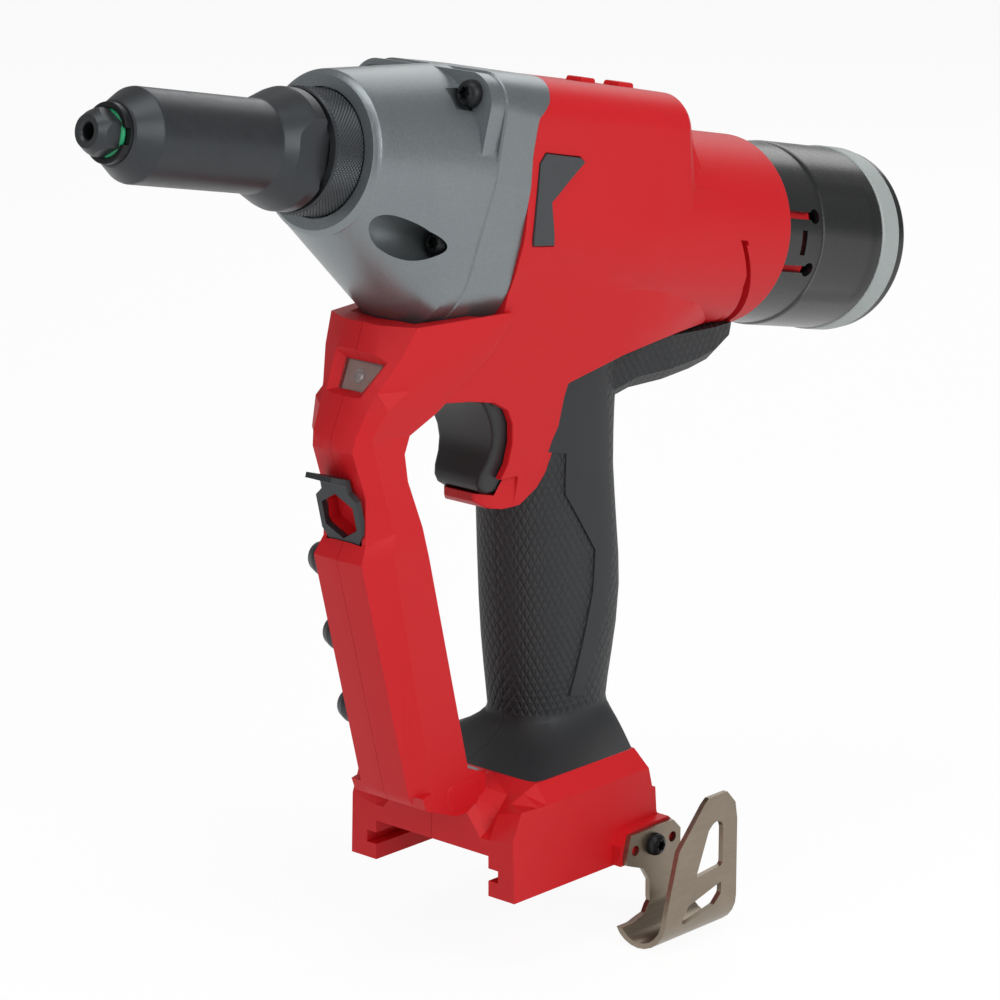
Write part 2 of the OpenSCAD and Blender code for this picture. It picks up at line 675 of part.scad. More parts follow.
module gear_housing() {
    color(grey) difference() {
        housing_form();
        on_axis() {
            bar(split_s - 1, split_s + 11, 14);
            bar(split_s + 11 - 0.01, gear_end_s + 2, nut_pitch + drive_module + 1);
            bar(gear_end_s, bearing_front_s, front_bearing_r + seat_gap);
            bar(bearing_front_s - 1, casing_root_s, 12);
            bar(casing_root_s - 0.01, housing_front_s + 1, casing_flare_r - 2.4 + seat_gap);
            bar(collar_s - seat_gap, housing_front_s + 1, collar_r + 0.5);
            for (e = [-1, 1]) {
                translate([0, e * top_screw[0], top_screw[1]]) {
                    bar(split_s - 1, top_screw_s + past, housing_screw_r + seat_gap);
                    bar(top_screw_s, top_screw_s + 60, housing_screw_head_r + 1.2);
                }
                translate([0, e * low_screw[0], low_screw[1]]) {
                    bar(split_s - 1, low_screw_s + 1, housing_screw_r + seat_gap);
                    bar(low_screw_s, low_screw_s + 42, housing_screw_head_r + 1);
                }
            }
        }
        on_axis(motor_drop) {
            bar(split_s - 1, ring_end_s + 0.1, ring_r + seat_gap);
            bar(ring_end_s, gear_end_s + 2, ring_pitch - 0.5);
            bar(gear_end_s, pinion_bearing_s + 6.1, pinion_bearing_r + seat_gap);
        }
    }
}
// Pan-head screw with a star recess, its head at local X = 0 and its shank backwards
module pan_screw(head_r, head_t, r, len) {
    difference() {
        turned([[0, -len], [r, -len], [r, 0], [head_r, 0], [head_r, head_t * 0.55], [head_r * 0.7, head_t], [0, head_t]]);
        bar(head_t - 1.8, head_t + 1, head_r * 0.5, $fn = 6);
    }
}
module housing_screws() {
    color(black) on_axis() for (e = [-1, 1]) {
        translate([top_screw_s, e * top_screw[0], top_screw[1]]) pan_screw(housing_screw_head_r, housing_screw_head_t, housing_screw_r, top_screw_s - housing_screw_tip_s);
        translate([low_screw_s, e * low_screw[0], low_screw[1]]) pan_screw(housing_screw_head_r, housing_screw_head_t, housing_screw_r, low_screw_s - housing_screw_tip_s);
    }
}
module shell_screws() {
    color(black) for (p = shell_screw_places) translate([p[0], -p[2] + 4, p[1]]) rotate([0, 0, -90])
        pan_screw(shell_screw_head_r, 2.2, shell_screw_r, p[2] + 4);
}
module knurled_collar() {
    ridges = 60;
    color(steel) on_axis() difference() {
        translate([collar_s, 0, 0]) rotate([90, 0, 90]) linear_extrude(collar_len) polygon([for (i = [0 : 2 * ridges - 1])
            let (r = i % 2 == 0 ? collar_r : collar_r - 0.5) [r * cos(180 * i / ridges), r * sin(180 * i / ridges)]]);
        bar(collar_s - 1, collar_s + collar_len + 1, casing_flare_r - 2.4 + seat_gap);
    }
}
module nose_casing() {
    root_r = casing_flare_r - 2.4;
    color(steel) on_axis() difference() {
        turned([[casing_bore_r, casing_root_s], [root_r, casing_root_s], [root_r, flare_end_s], [casing_flare_r, flare_end_s],
            [casing_flare_r, flare_end_s + 1.5], [casing_r, flare_start_s], [casing_r, casing_front_s - casing_cone],
            [nosepiece_shank_r + 4, casing_front_s], [nosepiece_shank_r + seat_gap, casing_front_s],
            [nosepiece_shank_r + seat_gap, casing_front_s - 9], [casing_bore_r, casing_front_s - 10]]);
        for (e = [-1, 1]) translate([flare_end_s - 1, e * casing_flats / 2 + (e > 0 ? 0 : -past), -past]) cube([7, past, 2 * past]);
    }
}
module nosepiece() {
    hex_r = nosepiece_af / 2 / cos(30);
    tip_s = casing_front_s + nosepiece_len;
    color(steel) on_axis() difference() {
        union() {
            bar(casing_front_s - 9, casing_front_s + 3, nosepiece_shank_r);
            intersection() {
                bar(casing_front_s + 2.5, tip_s - 0.01, hex_r, $fn = 6);
                turned([[0, casing_front_s + 2], [hex_r - 0.2, casing_front_s + 2], [hex_r - 0.2, tip_s - 3.5], [nosepiece_af / 2 - 1, tip_s], [0, tip_s]]);
            }
        }
        bar(casing_front_s - past, tip_s + past, mandrel_r);
    }
}
module nosepiece_seal() {
    color("#12a06a") on_axis() turned([[nosepiece_shank_r + 0.02, casing_front_s + 1], [nosepiece_shank_r + 1.5, casing_front_s + 1],
        [nosepiece_shank_r + 1.9, casing_front_s + 1.7], [nosepiece_shank_r + 1.5, casing_front_s + 2.5], [nosepiece_shank_r + 0.02, casing_front_s + 2.5]]);
}
module nosepiece_retainer() {
    color(black) on_axis() difference() {
        pipe(casing_front_s, casing_front_s + 2.6, nosepiece_shank_r + 3.6, nosepiece_shank_r + 2);
        translate([casing_front_s - 1, 0, -2.5]) cube([6, past, 5]);
    }
    color(black) on_axis() pipe(casing_front_s, casing_front_s + 0.98, nosepiece_shank_r + 3.6, nosepiece_shank_r + 0.1);
}
module jaw_case() {
    color(steel) on_axis() turned([[screw_r + seat_gap, jaw_case_s], [jaw_case_r, jaw_case_s], [jaw_case_r, jaw_case_s + jaw_case_len - 2],
        [jaw_case_r - 2, jaw_case_s + jaw_case_len], [4.2, jaw_case_s + jaw_case_len], [4.2, jaw_case_s + jaw_case_len - 2],
        [8.4, jaw_case_s + jaw_case_len - 20], [8.4, jaw_case_s + 8], [screw_r + seat_gap, jaw_case_s + 8]]);
}
module jaws() {
    end_s = jaw_case_s + jaw_case_len;
    color(bright) on_axis() for (i = [0 : 2]) rotate([120 * i, 0, 0]) difference() {
        turned([[mandrel_r + 0.2, end_s - 19.5], [8.2, end_s - 19.5], [4.1, end_s - 2], [mandrel_r + 0.2, end_s - 2]]);
        // a third of the cone, with a gap on each side
        for (e = [-1, 1]) rotate([e * 60, 0, 0]) translate([end_s - past, e > 0 ? -past : -0.4, -past]) cube([2 * past, past + 0.4, 2 * past]);
    }
}
module jaw_pusher() {
    end_s = jaw_case_s + jaw_case_len;
    color(steel) on_axis() turned([[mandrel_r + 0.35, end_s - 24], [8.3, end_s - 24], [8.3, end_s - 21], [5.5, end_s - 19.6], [mandrel_r + 0.35, end_s - 19.6]]);
}
module jaw_spring() {
    color(bright) on_axis() spring(jaw_case_s + 8.1, jaw_case_s + jaw_case_len - 24.1, 7, 0.8, 4);
}
module ball_screw() {
    groove = 0.9;
    tail = screw_tail_s;
    color(bright) on_axis() difference() {
        bar(tail, screw_head_s, screw_r);
        bar(tail - 1, screw_head_s + 1, screw_bore_r);
        // ring grooves stand for the rolling track at the thread's lead
        for (s = [nut_front_s + 12 : -screw_lead : tail + 4]) translate([s, 0, 0]) rotate([0, 90, 0]) rotate_extrude() translate([screw_r + 0.2, 0]) circle(groove);
    }
}
module mandrel_tube() {
    color(bright) on_axis() pipe(neck_s - 3, screw_tail_s + 20, mandrel_tube_r, mandrel_tube_r - mandrel_tube_wall);
}
module ball_nut() {
    color(bright) on_axis() turned([[screw_r + slide_gap, plate_s + 0.5], [nut_tail_r, plate_s + 0.5], [nut_tail_r, split_s], [nut_nose_r, split_s],
        [nut_nose_r, gear_s - 1], [nut_body_r, gear_s - 1], [nut_body_r, nut_front_s], [nut_nose_r, nut_front_s],
        [nut_nose_r, bearing_front_s - 0.1], [screw_r + slide_gap, bearing_front_s - 0.1]]);
}
module nut_gear() {
    color(steel) on_axis() difference() {
        gear(gear_s, gear_end_s, nut_teeth, drive_module, -90 + 180 / nut_teeth);
        bar(gear_s - 1, gear_end_s + 1, nut_body_r + seat_gap);
    }
}
module front_bearing() {
    color(bright) on_axis() bearing(nut_front_s + 0.05, bearing_front_s - 0.05, front_bearing_r, nut_nose_r + run_gap);
}
module rear_bearing() {
    color(bright) on_axis() bearing(plate_s + 1, split_s - 0.1, rear_bearing_r, nut_tail_r + run_gap);
}
module bearing_plate() {
    color("#9aa0a2") difference() {
        union() {
            on_axis() bar(plate_s, split_s - 0.05, body_r - 4.4);
            on_axis(motor_drop) bar(plate_s, split_s - 0.05, 17.9);
        }
        on_axis() {
            bar(plate_s + 0.9, split_s + 1, rear_bearing_r + seat_gap);
            bar(plate_s - 1, split_s, nut_tail_r + 1.2);
        }
        on_axis(motor_drop) {
            bar(plate_s + 0.9, split_s + 1, small_bearing_r + seat_gap);
            bar(plate_s - 1, split_s, shaft_r + 1.5);
        }
    }
}
module planet_carrier() {
    color(steel) on_axis(motor_drop) {
        bar(carrier_s, carrier_end_s, planet_orbit + planet_pin_r + 1.2);
        bar(carrier_end_s - 0.5, gear_s + 0.5, pinion_pitch - 1.5);
        gear(gear_s, gear_end_s, pinion_teeth, drive_module, 90);
        bar(gear_end_s - 0.5, pinion_bearing_s + 6, pinion_shaft_r);
        for (i = [0 : 2]) rotate([120 * i, 0, 0]) translate([0, 0, planet_orbit]) bar(ring_s + 0.8, carrier_s + 0.5, planet_pin_r);
    }
}
module pinion_bearing() {
    color(bright) on_axis(motor_drop) bearing(pinion_bearing_s, pinion_bearing_s + 6, pinion_bearing_r, pinion_shaft_r + run_gap);
}
// Planet number 0 stands over the sun, and a tooth of each points at the ring
module planet_gear(i) {
    color(bright) on_axis(motor_drop) rotate([120 * i, 0, 0]) translate([0, 0, planet_orbit]) difference() {
        gear(ring_s + 0.9, carrier_s - 0.4, planet_teeth, planet_module, 90);
        bar(ring_s, carrier_s, planet_pin_r + run_gap);
    }
}
module planet_gear_1() { planet_gear(0); }
module planet_gear_2() { planet_gear(1); }
module planet_gear_3() { planet_gear(2); }
module ring_gear() {
    color(steel) on_axis(motor_drop) difference() {
        bar(ring_s, ring_end_s, ring_r);
        ring_cutter(ring_s - 1, ring_end_s + 1, ring_teeth, planet_module, 90);
    }
}
module rotor_shaft() {
    color(bright) on_axis(motor_drop) {
        bar(end_plate_s + 1, ring_s + 0.5, shaft_r);
        gear(ring_s + 0.4, carrier_s - 0.4, sun_teeth, planet_module, 90);
    }
}
module motor_rotor() {
    color("#55585a") on_axis(motor_drop) pipe(stator_s, stator_s + stator_len, rotor_r, shaft_r + 0.02);
}
module motor_fan() {
    color(black) on_axis(motor_drop) {
        pipe(fan_s, fan_s + 8, 6, shaft_r + 0.02);
        difference() {
            union() {
                pipe(fan_s, fan_s + 1.6, fan_r, 5.5);
                for (i = [0 : 10]) rotate([360 * i / 11, 0, 0]) translate([fan_s + 1, -0.8, 5.5]) cube([6.5, 1.6, fan_r - 6]);
            }
            bar(fan_s - 1, fan_s + 10, shaft_r + 0.02);
        }
    }
}
module motor_stator() {
    slots = 9;
    color("#6a6d70") on_axis(motor_drop) {
        pipe(stator_s, stator_s + stator_len, stator_r, stator_r - 3);
        for (i = [0 : slots - 1]) rotate([360 * i / slots, 0, 0]) difference() {
            translate([stator_s, -1.5, rotor_r]) cube([stator_len, 3, stator_r - 2 - rotor_r]);
            bar(stator_s - 1, stator_s + stator_len + 1, rotor_r + slide_gap);
        }
    }
}
module motor_windings() {
    slots = 9;
    color("#b5672e") on_axis(motor_drop) for (i = [0 : slots - 1]) rotate([360 * (i + 0.5) / slots, 0, 0])
        translate([stator_s - 2.5, 0, 0]) rotate([90, 0, 90]) linear_extrude(stator_len + 5)
            polygon([[-1.9, 12], [1.9, 12], [3.4, 15.6], [-3.4, 15.6]]);
}
module motor_bearings() {
    color(bright) on_axis(motor_drop) {
        bearing(plate_s + 1, plate_s + 6, small_bearing_r, shaft_r + run_gap);
        bearing(end_plate_s + 2.1, end_plate_s + 7, small_bearing_r, shaft_r + run_gap);
    }
}
module motor_end_plate() {
    color(black) on_axis(motor_drop) difference() {
        union() {
            pipe(end_plate_s, end_plate_s + 7, small_bearing_r + 2.5, small_bearing_r + seat_gap);
            bar(end_plate_s, end_plate_s + 2, small_bearing_r + 1);
            pipe(end_plate_s, end_plate_s + 7, stator_r, stator_r - 2);
            for (i = [0 : 3]) rotate([90 * i, 0, 0]) translate([end_plate_s, -2, small_bearing_r + 1]) cube([4, 4, stator_r - small_bearing_r - 2]);
        }
        bar(end_plate_s - 1, end_plate_s + 3, shaft_r + 1);
    }
}
// Work light in the strut's front, over the bend
led_z = 20.8;
led_y = 2.2;
led_half_w = 7.8;
module led_seat() {
    on_strut_top() front_cut(-5, past, led_outline(led_half_w + seat_gap, led_z - 4.6 - seat_gap, led_z + 4.6 + seat_gap));
}
function led_outline(half_w, low, high) = [[led_y - half_w, low], [led_y + half_w - 6, low], [led_y + half_w, high], [led_y - half_w, high]];
module led_lens() {
    color("#d9dde0") on_strut_top() front_cut(-2.6, -1.2, led_outline(led_half_w, led_z - 4.6, led_z + 4.6));
}
module led_board() {
    color("#2f6b3c") on_strut_top() {
        front_cut(-5, -4, led_outline(led_half_w - 0.1, led_z - 4.5, led_z + 4.5));
        translate([-4, -1.6, led_z - 1.6]) cube([1.4, 3.2, 3.2]);
    }
}
// Wrench stored in the strut: plate with a hexagonal hole and a bent thumb tab
module wrench_slot() {
    on_strut() translate([-strut_set_back - seat_gap, -wrench_w / 2 + 2 - slide_gap, strut_low_len - wrench_foot - slide_gap]) cube([wrench_t + 2 * slide_gap, wrench_w - 4 + 2 * slide_gap, past]);
}
module wrench() {
    half_w = wrench_w / 2;
    hex_z = strut_low_len + 11;
    color(steel) on_strut() translate([-strut_set_back + slide_gap / 2, 0, 0]) {
        difference() {
            front_cut(0, wrench_t, [[2 - half_w, strut_low_len - wrench_foot], [half_w - 2, strut_low_len - wrench_foot], [half_w - 2, strut_low_len + 1],
                [half_w, strut_low_len + 4], [half_w, hex_z + 5], [5, hex_z + 11], [5, hex_z + 15], [-5, hex_z + 15], [-5, hex_z + 11],
                [-half_w, hex_z + 5], [-half_w, strut_low_len + 4], [2 - half_w, strut_low_len + 1]]);
            translate([-1, 0, hex_z]) rotate([0, 90, 0]) cylinder(h = 10, r = wrench_af / 2 / cos(30), $fn = 6);
        }
        translate([0, -5, hex_z + 13]) cube([wrench_t + 5, 10, wrench_t]);
    }
}
module spare_nosepieces() {
    color(black) for (p = spare_places) on_strut() translate([p[0], -strut_half_w, p[1]]) rotate([90, 0, 0]) difference() {
        union() {
            translate([0, 0, -9.5]) cylinder(h = 10, r = spare_r);
            cylinder(h = 2.5, r = spare_r + 1);
            translate([0, 0, 2.49]) cylinder(h = 3, r1 = spare_r + 1, r2 = spare_r - 1);
        }
        translate([0, 0, -20]) cylinder(h = 40, r = mandrel_r - 0.6);
    }
}
module trigger() {
    color(black) difference() {
        side_cut(trigger_outline, trigger_half_w);
        // finger hollow
        translate([front - 14.2 + trigger_hollow_r, past, chin_z + 22]) rotate([90, 0, 0]) cylinder(h = 2 * past, r = trigger_hollow_r);
        // seat of the return spring
        translate([front - 29, 0, chin_z + 22]) bar(0, 5.8, 4.6);
    }
}
module trigger_spring() {
    color(bright) translate([0, 0, chin_z + 22]) spring(front - 36.3, front - 23.3, 3.4, 0.5, 5);
}
module trigger_switch() {
    color("#303336") translate([front - switch_back, -switch_half_w, chin_z + 6]) cube([switch_len, 2 * switch_half_w, switch_h]);
}
module control_module() {
    x = -front + foot_back_lean + wall + 2;
    color("#2b2d30") {
        board_h = foot_h - wall - foot_floor - 5.5;
        translate([x, -channel_w / 2 + 1, foot_floor]) cube([foot_len - foot_back_lean - 2 * wall - 8, channel_w - 2, board_h]);
        for (i = [-2 : 2]) translate([x + 22, 8 * i - 2, foot_floor + board_h - 0.5]) cube([9, 4, 4]);
    }
}
module terminal_block() {
    color(black) difference() {
        union() {
            translate([terminal_x - 4, -15 + seat_gap, 5]) cube([16, 30 - 2 * seat_gap, channel_h + wall - 5]);
        }
        for (y = blade_places) translate([terminal_x - 3, y - 0.45, 0]) cube([past, 0.9, 12]);
    }
}
blade_places = [-11, -4, 4, 11];
module terminal_blades() {
    color("#c9a24b") for (y = blade_places) translate([terminal_x - 2.9, y - 0.4, 6]) cube([13, 0.8, 5.9]);
}
module status_panel() {
    color("#8f9496") translate([front - 12.4, -8, foot_h - 1.5]) cube([6.8, 16, 1.9]);
}
// Belt hook: a steel strip with a flange, a bend under the foot's edge and an outer plate
module belt_hook() {
    y0 = foot_w / 2 + boss_t;
    x = front - hook_screw_back;
    half_len = hook_flange_len / 2;
    bend_z = hook_bend_r - hook_drop + hook_t;
    bend_y = y0 + hook_bend_r + hook_t;
    outer_y = y0 + 2 * hook_bend_r + hook_t;
    module strip_view() {
        translate([y0, bend_z]) square([hook_t, hook_screw_z + 5.5 - bend_z]);
        translate([outer_y, bend_z]) square([hook_t, hook_plate_top - bend_z]);
        translate([bend_y, bend_z]) difference() {
            circle(hook_bend_r + hook_t);
            circle(hook_bend_r);
            translate([-past, 0]) square([2 * past, past]);
        }
    }
    color("#a39a8c") intersection() {
        difference() {
            translate([x - 17, 0, 0]) rotate([90, 0, 90]) linear_extrude(40) strip_view();
            // screw hole and the two locating holes
            translate([x, 0, hook_screw_z]) rotate([-90, 0, 0]) cylinder(h = y0 + 10, r = 2.2);
            for (e = [-1, 1]) translate([x + e * 9, 0, hook_screw_z]) rotate([-90, 0, 0]) cylinder(h = y0 + 10, r = 1.7);
            // flange is cut back at the sides over the strip
            translate([x - past - half_len, 0, -past]) cube([past, bend_y, 2 * past]);
            translate([x + half_len, 0, -past]) cube([past, bend_y, 2 * past]);
            // windows of the outer plate
            translate([0, past + outer_y, 0]) rotate([90, 0, 0]) linear_extrude(past + 1) {
                polygon([[x - 11, 0], [x + 6, 0], [x + 2, 14], [x - 4, 17], [x - 11, 17]]);
                polygon([[x - 11, -13], [x + 9, -13], [x + 10.5, -9], [x + 8, -4], [x - 11, -4]]);
            }
        }
        translate([0, outer_y + past, 0]) rotate([90, 0, 0]) linear_extrude(2 * past) polygon([[x - 16, bend_z - past], [x + 21, bend_z - past],
            [x + 21, bend_z], [x + 13, hook_screw_z + 2], [x + 9, hook_screw_z + 5.5], [x - 2, hook_plate_top], [x - 11, hook_plate_top], [x - 16, hook_plate_top - 5]]);
    }
}
module belt_hook_screw() {
    color(black) translate([front - hook_screw_back, foot_w / 2 + boss_t + hook_t, hook_screw_z]) rotate([0, 0, 90]) pan_screw(3.6, 3, insert_hole_r - seat_gap, 9);
}
module hook_inserts() {
    color("#b08d4a") for (e = [-1, 1]) translate([front - hook_screw_back, e * (foot_w / 2 + boss_t), hook_screw_z]) rotate([e * 90, 0, 0]) difference() {
        cylinder(h = insert_len, r = insert_r);
        translate([0, 0, -1]) cylinder(h = insert_len + 2, r = insert_hole_r);
    }
}
module collector_bottle() {
    color(black) on_axis(collector_drop) difference() {
        bar(bottle_s, neck_s - 0.4, bottle_r);
        bar(bottle_s - 1, neck_s + 1, bottle_r - bottle_wall);
        // keyhole slots and the window of the bayonet tongue, on both sides
        for (e = [-1, 1]) rotate([e > 0 ? 0 : 180, 0, 0]) {
            for (a = [-17, 17]) rotate([a, 0, 0]) {
                translate([neck_s - 14, 0, -1.2]) cube([past, past, 2.4]);
                translate([neck_s - 14, 0, 0]) rotate([-90, 0, 0]) cylinder(h = past, r = 2.4);
            }
            translate([neck_s - 10, 0, -4]) cube([2.5, past, 8]);
        }
    }
}
module collector_band() {
    color("#b3b9b8") on_axis(collector_drop) difference() {
        bar(bottle_s - band_w, bottle_s, bottle_r + 0.9);
        bar(bottle_s - band_w - 1, bottle_s + 1, bottle_r - bottle_wall);
    }
}
module collector_cap() {
    end = bottle_s - band_w;
    color(black) on_axis(collector_drop) {
        turned([[0, end - cap_t], [bottle_r - 1, end - cap_t], [bottle_r + 0.3, end - cap_t + 1.5], [bottle_r + 0.3, end], [0, end]]);
        pipe(end - 0.5, end + band_w - 1, bottle_r - bottle_wall - seat_gap, bottle_r - bottle_wall - 2);
    }
}

left_shell();
right_shell();
left_grip();
right_grip();
left_side_pad();
right_side_pad();
gear_housing();
housing_screws();
shell_screws();
knurled_collar();
nose_casing();
nosepiece();
nosepiece_seal();
nosepiece_retainer();
jaw_case();
jaws();
jaw_pusher();
jaw_spring();
ball_screw();
mandrel_tube();
ball_nut();
nut_gear();
front_bearing();
rear_bearing();
bearing_plate();
planet_carrier();
pinion_bearing();
planet_gear_1();
planet_gear_2();
planet_gear_3();
ring_gear();
rotor_shaft();
motor_rotor();
motor_fan();
motor_stator();
motor_windings();
motor_bearings();
motor_end_plate();
led_lens();
led_board();
wrench();
spare_nosepieces();
trigger();
trigger_spring();
trigger_switch();
control_module();
terminal_block();
terminal_blades();
status_panel();
belt_hook();
belt_hook_screw();
hook_inserts();
collector_bottle();
collector_band();
collector_cap();
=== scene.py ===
import math

import bpy
from mathutils import Matrix, Vector


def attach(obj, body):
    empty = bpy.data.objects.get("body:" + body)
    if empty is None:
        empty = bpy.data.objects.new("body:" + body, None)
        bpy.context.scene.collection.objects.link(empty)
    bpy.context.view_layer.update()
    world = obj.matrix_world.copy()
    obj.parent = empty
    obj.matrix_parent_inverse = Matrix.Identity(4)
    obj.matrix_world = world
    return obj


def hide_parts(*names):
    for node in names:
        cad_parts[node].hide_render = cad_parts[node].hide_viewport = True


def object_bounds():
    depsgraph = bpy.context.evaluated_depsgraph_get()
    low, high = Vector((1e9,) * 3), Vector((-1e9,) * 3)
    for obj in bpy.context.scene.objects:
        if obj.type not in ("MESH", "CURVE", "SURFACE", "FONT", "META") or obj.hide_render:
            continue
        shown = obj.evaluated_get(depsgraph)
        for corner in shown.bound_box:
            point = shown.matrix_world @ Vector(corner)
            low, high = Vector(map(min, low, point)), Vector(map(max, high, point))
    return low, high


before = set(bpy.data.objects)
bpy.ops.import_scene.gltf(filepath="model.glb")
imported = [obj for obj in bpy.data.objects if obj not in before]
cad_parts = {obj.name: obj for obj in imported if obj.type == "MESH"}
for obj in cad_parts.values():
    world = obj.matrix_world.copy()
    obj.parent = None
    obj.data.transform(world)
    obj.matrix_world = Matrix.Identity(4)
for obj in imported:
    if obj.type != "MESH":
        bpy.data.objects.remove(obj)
cad_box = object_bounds()


# Studio: a pale floor, soft lamps and the camera
# The tool stands on a white sweep. The floor shows itself nearly white to the camera, and keeps
# a soft shadow. Large lamps stand over the tool's left side, in front of it and above it.

class Wire:
    """One value on its way through a finish; arithmetic with it adds Math nodes."""

    def __init__(self, tree, socket):
        self.tree = tree
        self.socket = socket

    def node(self, kind, settings, values, output=0):
        node = self.tree.nodes.new(kind)
        for name, value in settings.items():
            setattr(node, name, value)
        for name, value in values.items():
            if isinstance(value, Wire):
                self.tree.links.new(value.socket, node.inputs[name])
            else:
                node.inputs[name].default_value = value
        return Wire(self.tree, node.outputs[output])

    def work(self, operation, first, second=0.0):
        return self.node("ShaderNodeMath", {"operation": operation}, {0: first, 1: second})

    def __add__(self, other):
        return self.work("ADD", self, other)

    def __radd__(self, other):
        return self.work("ADD", other, self)

    def __sub__(self, other):
        return self.work("SUBTRACT", self, other)

    def __mul__(self, other):
        return self.work("MULTIPLY", self, other)

    def __truediv__(self, other):
        return self.work("DIVIDE", self, other)


def srgb(red, green, blue):
    """A screen colour as the linear one that materials take."""
    linear = []
    for c in (red, green, blue):
        linear.append(c / 255 / 12.92 if c < 10.3 else ((c / 255 + 0.055) / 1.055) ** 2.4)
    return (*linear, 1.0)


def alone(piece):
    bpy.ops.object.select_all(action="DESELECT")
    piece.select_set(True)
    bpy.context.view_layer.objects.active = piece


floor_z = cad_box[0][2] - 0.0005
bpy.ops.object.select_all(action="DESELECT")
bpy.ops.mesh.primitive_plane_add(size=9, location=(0, 0, floor_z))
floor = bpy.context.object
floor.name = "floor"
floor_white = bpy.data.materials.new("floor_white")
floor_white.use_nodes = True
tree = floor_white.node_tree
tree.nodes.remove(tree.nodes["Principled BSDF"])
path = tree.nodes.new("ShaderNodeLightPath")
seen = Wire(tree, path.outputs["Is Camera Ray"])
seen = seen.work("MAXIMUM", seen, Wire(tree, path.outputs["Is Glossy Ray"]))
seen = seen.work("MAXIMUM", seen, Wire(tree, path.outputs["Is Transmission Ray"]))
matt = seen.node("ShaderNodeBsdfDiffuse", {}, {"Color": (0.86, 0.86, 0.86, 1)})
glow = seen.node("ShaderNodeEmission", {}, {"Color": (1, 1, 1, 1), "Strength": 1.03})
mixed = seen.node("ShaderNodeMixShader", {}, {0: seen * 0.9, 1: matt, 2: glow})
tree.links.new(mixed.socket, tree.nodes["Material Output"].inputs["Surface"])
floor.data.materials.append(floor_white)

world = bpy.data.worlds.new("studio_air")
bpy.context.scene.world = world
world.use_nodes = True
tree = world.node_tree
path = tree.nodes.new("ShaderNodeLightPath")
seen = Wire(tree, path.outputs["Is Camera Ray"])
seen = seen.work("MAXIMUM", seen, Wire(tree, path.outputs["Is Transmission Ray"]))
mirrored = Wire(tree, path.outputs["Is Glossy Ray"]) * 0.15
dim = seen.node("ShaderNodeBackground", {}, {"Color": (1, 1, 1, 1), "Strength": 0.2})
white = seen.node("ShaderNodeBackground", {}, {"Color": (1, 1, 1, 1), "Strength": 1.0})
air = seen.node("ShaderNodeMixShader", {}, {0: seen.work("MAXIMUM", seen, mirrored), 1: dim, 2: white})
tree.links.new(air.socket, tree.nodes["World Output"].inputs["Surface"])


def lamp(name, place, aim, size, watts):
    bpy.ops.object.light_add(type="AREA", location=place)
    light = bpy.context.object
    light.name = name
    light.data.shape = "RECTANGLE"
    light.data.size = size[0]
    light.data.size_y = size[1]
    light.data.energy = watts
    light.rotation_euler = (Vector(aim) - Vector(place)).to_track_quat("-Z", "Y").to_euler()


middle = (-0.02, 0.0, 0.14)
lamp("side_lamp", (0.15, 1.35, 0.75), middle, (1.1, 1.0), 12.5)
lamp("front_lamp", (1.35, 0.05, 0.55), middle, (0.7, 1.0), 4.2)
lamp("top_lamp", (0.25, 0.15, 1.5), middle, (1.2, 0.7), 7.5)
lamp("back_lamp", (-1.2, -0.6, 0.9), middle, (0.9, 0.9), 4)

bpy.ops.object.camera_add(location=(0.8871, 0.8064, 0.4405))
camera = bpy.context.object
camera.name = "camera"
camera.data.sensor_width = 36
camera.data.lens = 144
camera.data.clip_end = 20
aim = Vector((-0.2237, -0.2079, 0.0318))
camera.rotation_euler = (aim - camera.location).to_track_quat("-Z", "Y").to_euler()
bpy.context.scene.camera = camera
bpy.context.scene.view_settings.view_transform = "Standard"


# Gear train, drawbar and pulling head inside the tool
# Hardened and ground steel for the gears, the drawbar, the jaws and the bearings, all held in
# the housing; the turned pieces keep fine tool marks and a thin film of oil.

def blank(name):
    material = bpy.data.materials.new(name)
    material.use_nodes = True
    tree = material.node_tree
    place = Wire(tree, tree.nodes.new("ShaderNodeTexCoord").outputs["Object"])
    return material, tree.nodes["Principled BSDF"], place


def feed(shader, name, wire):
    wire.tree.links.new(wire.socket, shader.inputs[name])


def cloud(place, scale, detail=3.0):
    values = {"Vector": place, "Scale": scale, "Detail": detail, "Roughness": 0.6}
    return place.node("ShaderNodeTexNoise", {}, values)


def tint(mask, first, second):
    return mask.node("ShaderNodeMix", {"data_type": "RGBA"}, {0: mask, 6: first, 7: second}, 2)


def relief(shader, height, strength, distance):
    bump = height.node("ShaderNodeBump", {}, {"Height": height, "Strength": strength, "Distance": distance})
    feed(shader, "Normal", bump)


def grained(name, colour, shade, grain, rough, bump=0.0, metallic=0.0, coat=0.0, specular=0.5,
            drift=22.0, detail=4.0, share=0.25, depth=0.0002):
    """A finish with slow colour drift, fine grain in its gloss and a shallow grain relief."""
    material, shader, place = blank(name)
    slow = cloud(place, drift)
    fine = cloud(place, grain, detail)
    feed(shader, "Base Color", tint(slow * (1 - share) + fine * share, srgb(*colour), srgb(*shade)))
    feed(shader, "Roughness", rough[0] + fine * (rough[1] - rough[0]))
    shader.inputs["Metallic"].default_value = metallic
    shader.inputs["Coat Weight"].default_value = coat
    shader.inputs["Specular IOR Level"].default_value = specular
    if bump:
        relief(shader, fine, bump, depth)
    return material


def dress(material, *names):
    for name in names:
        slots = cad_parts[name].material_slots
        if not slots:
            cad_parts[name].data.materials.append(material)
        for slot in slots:
            slot.material = material


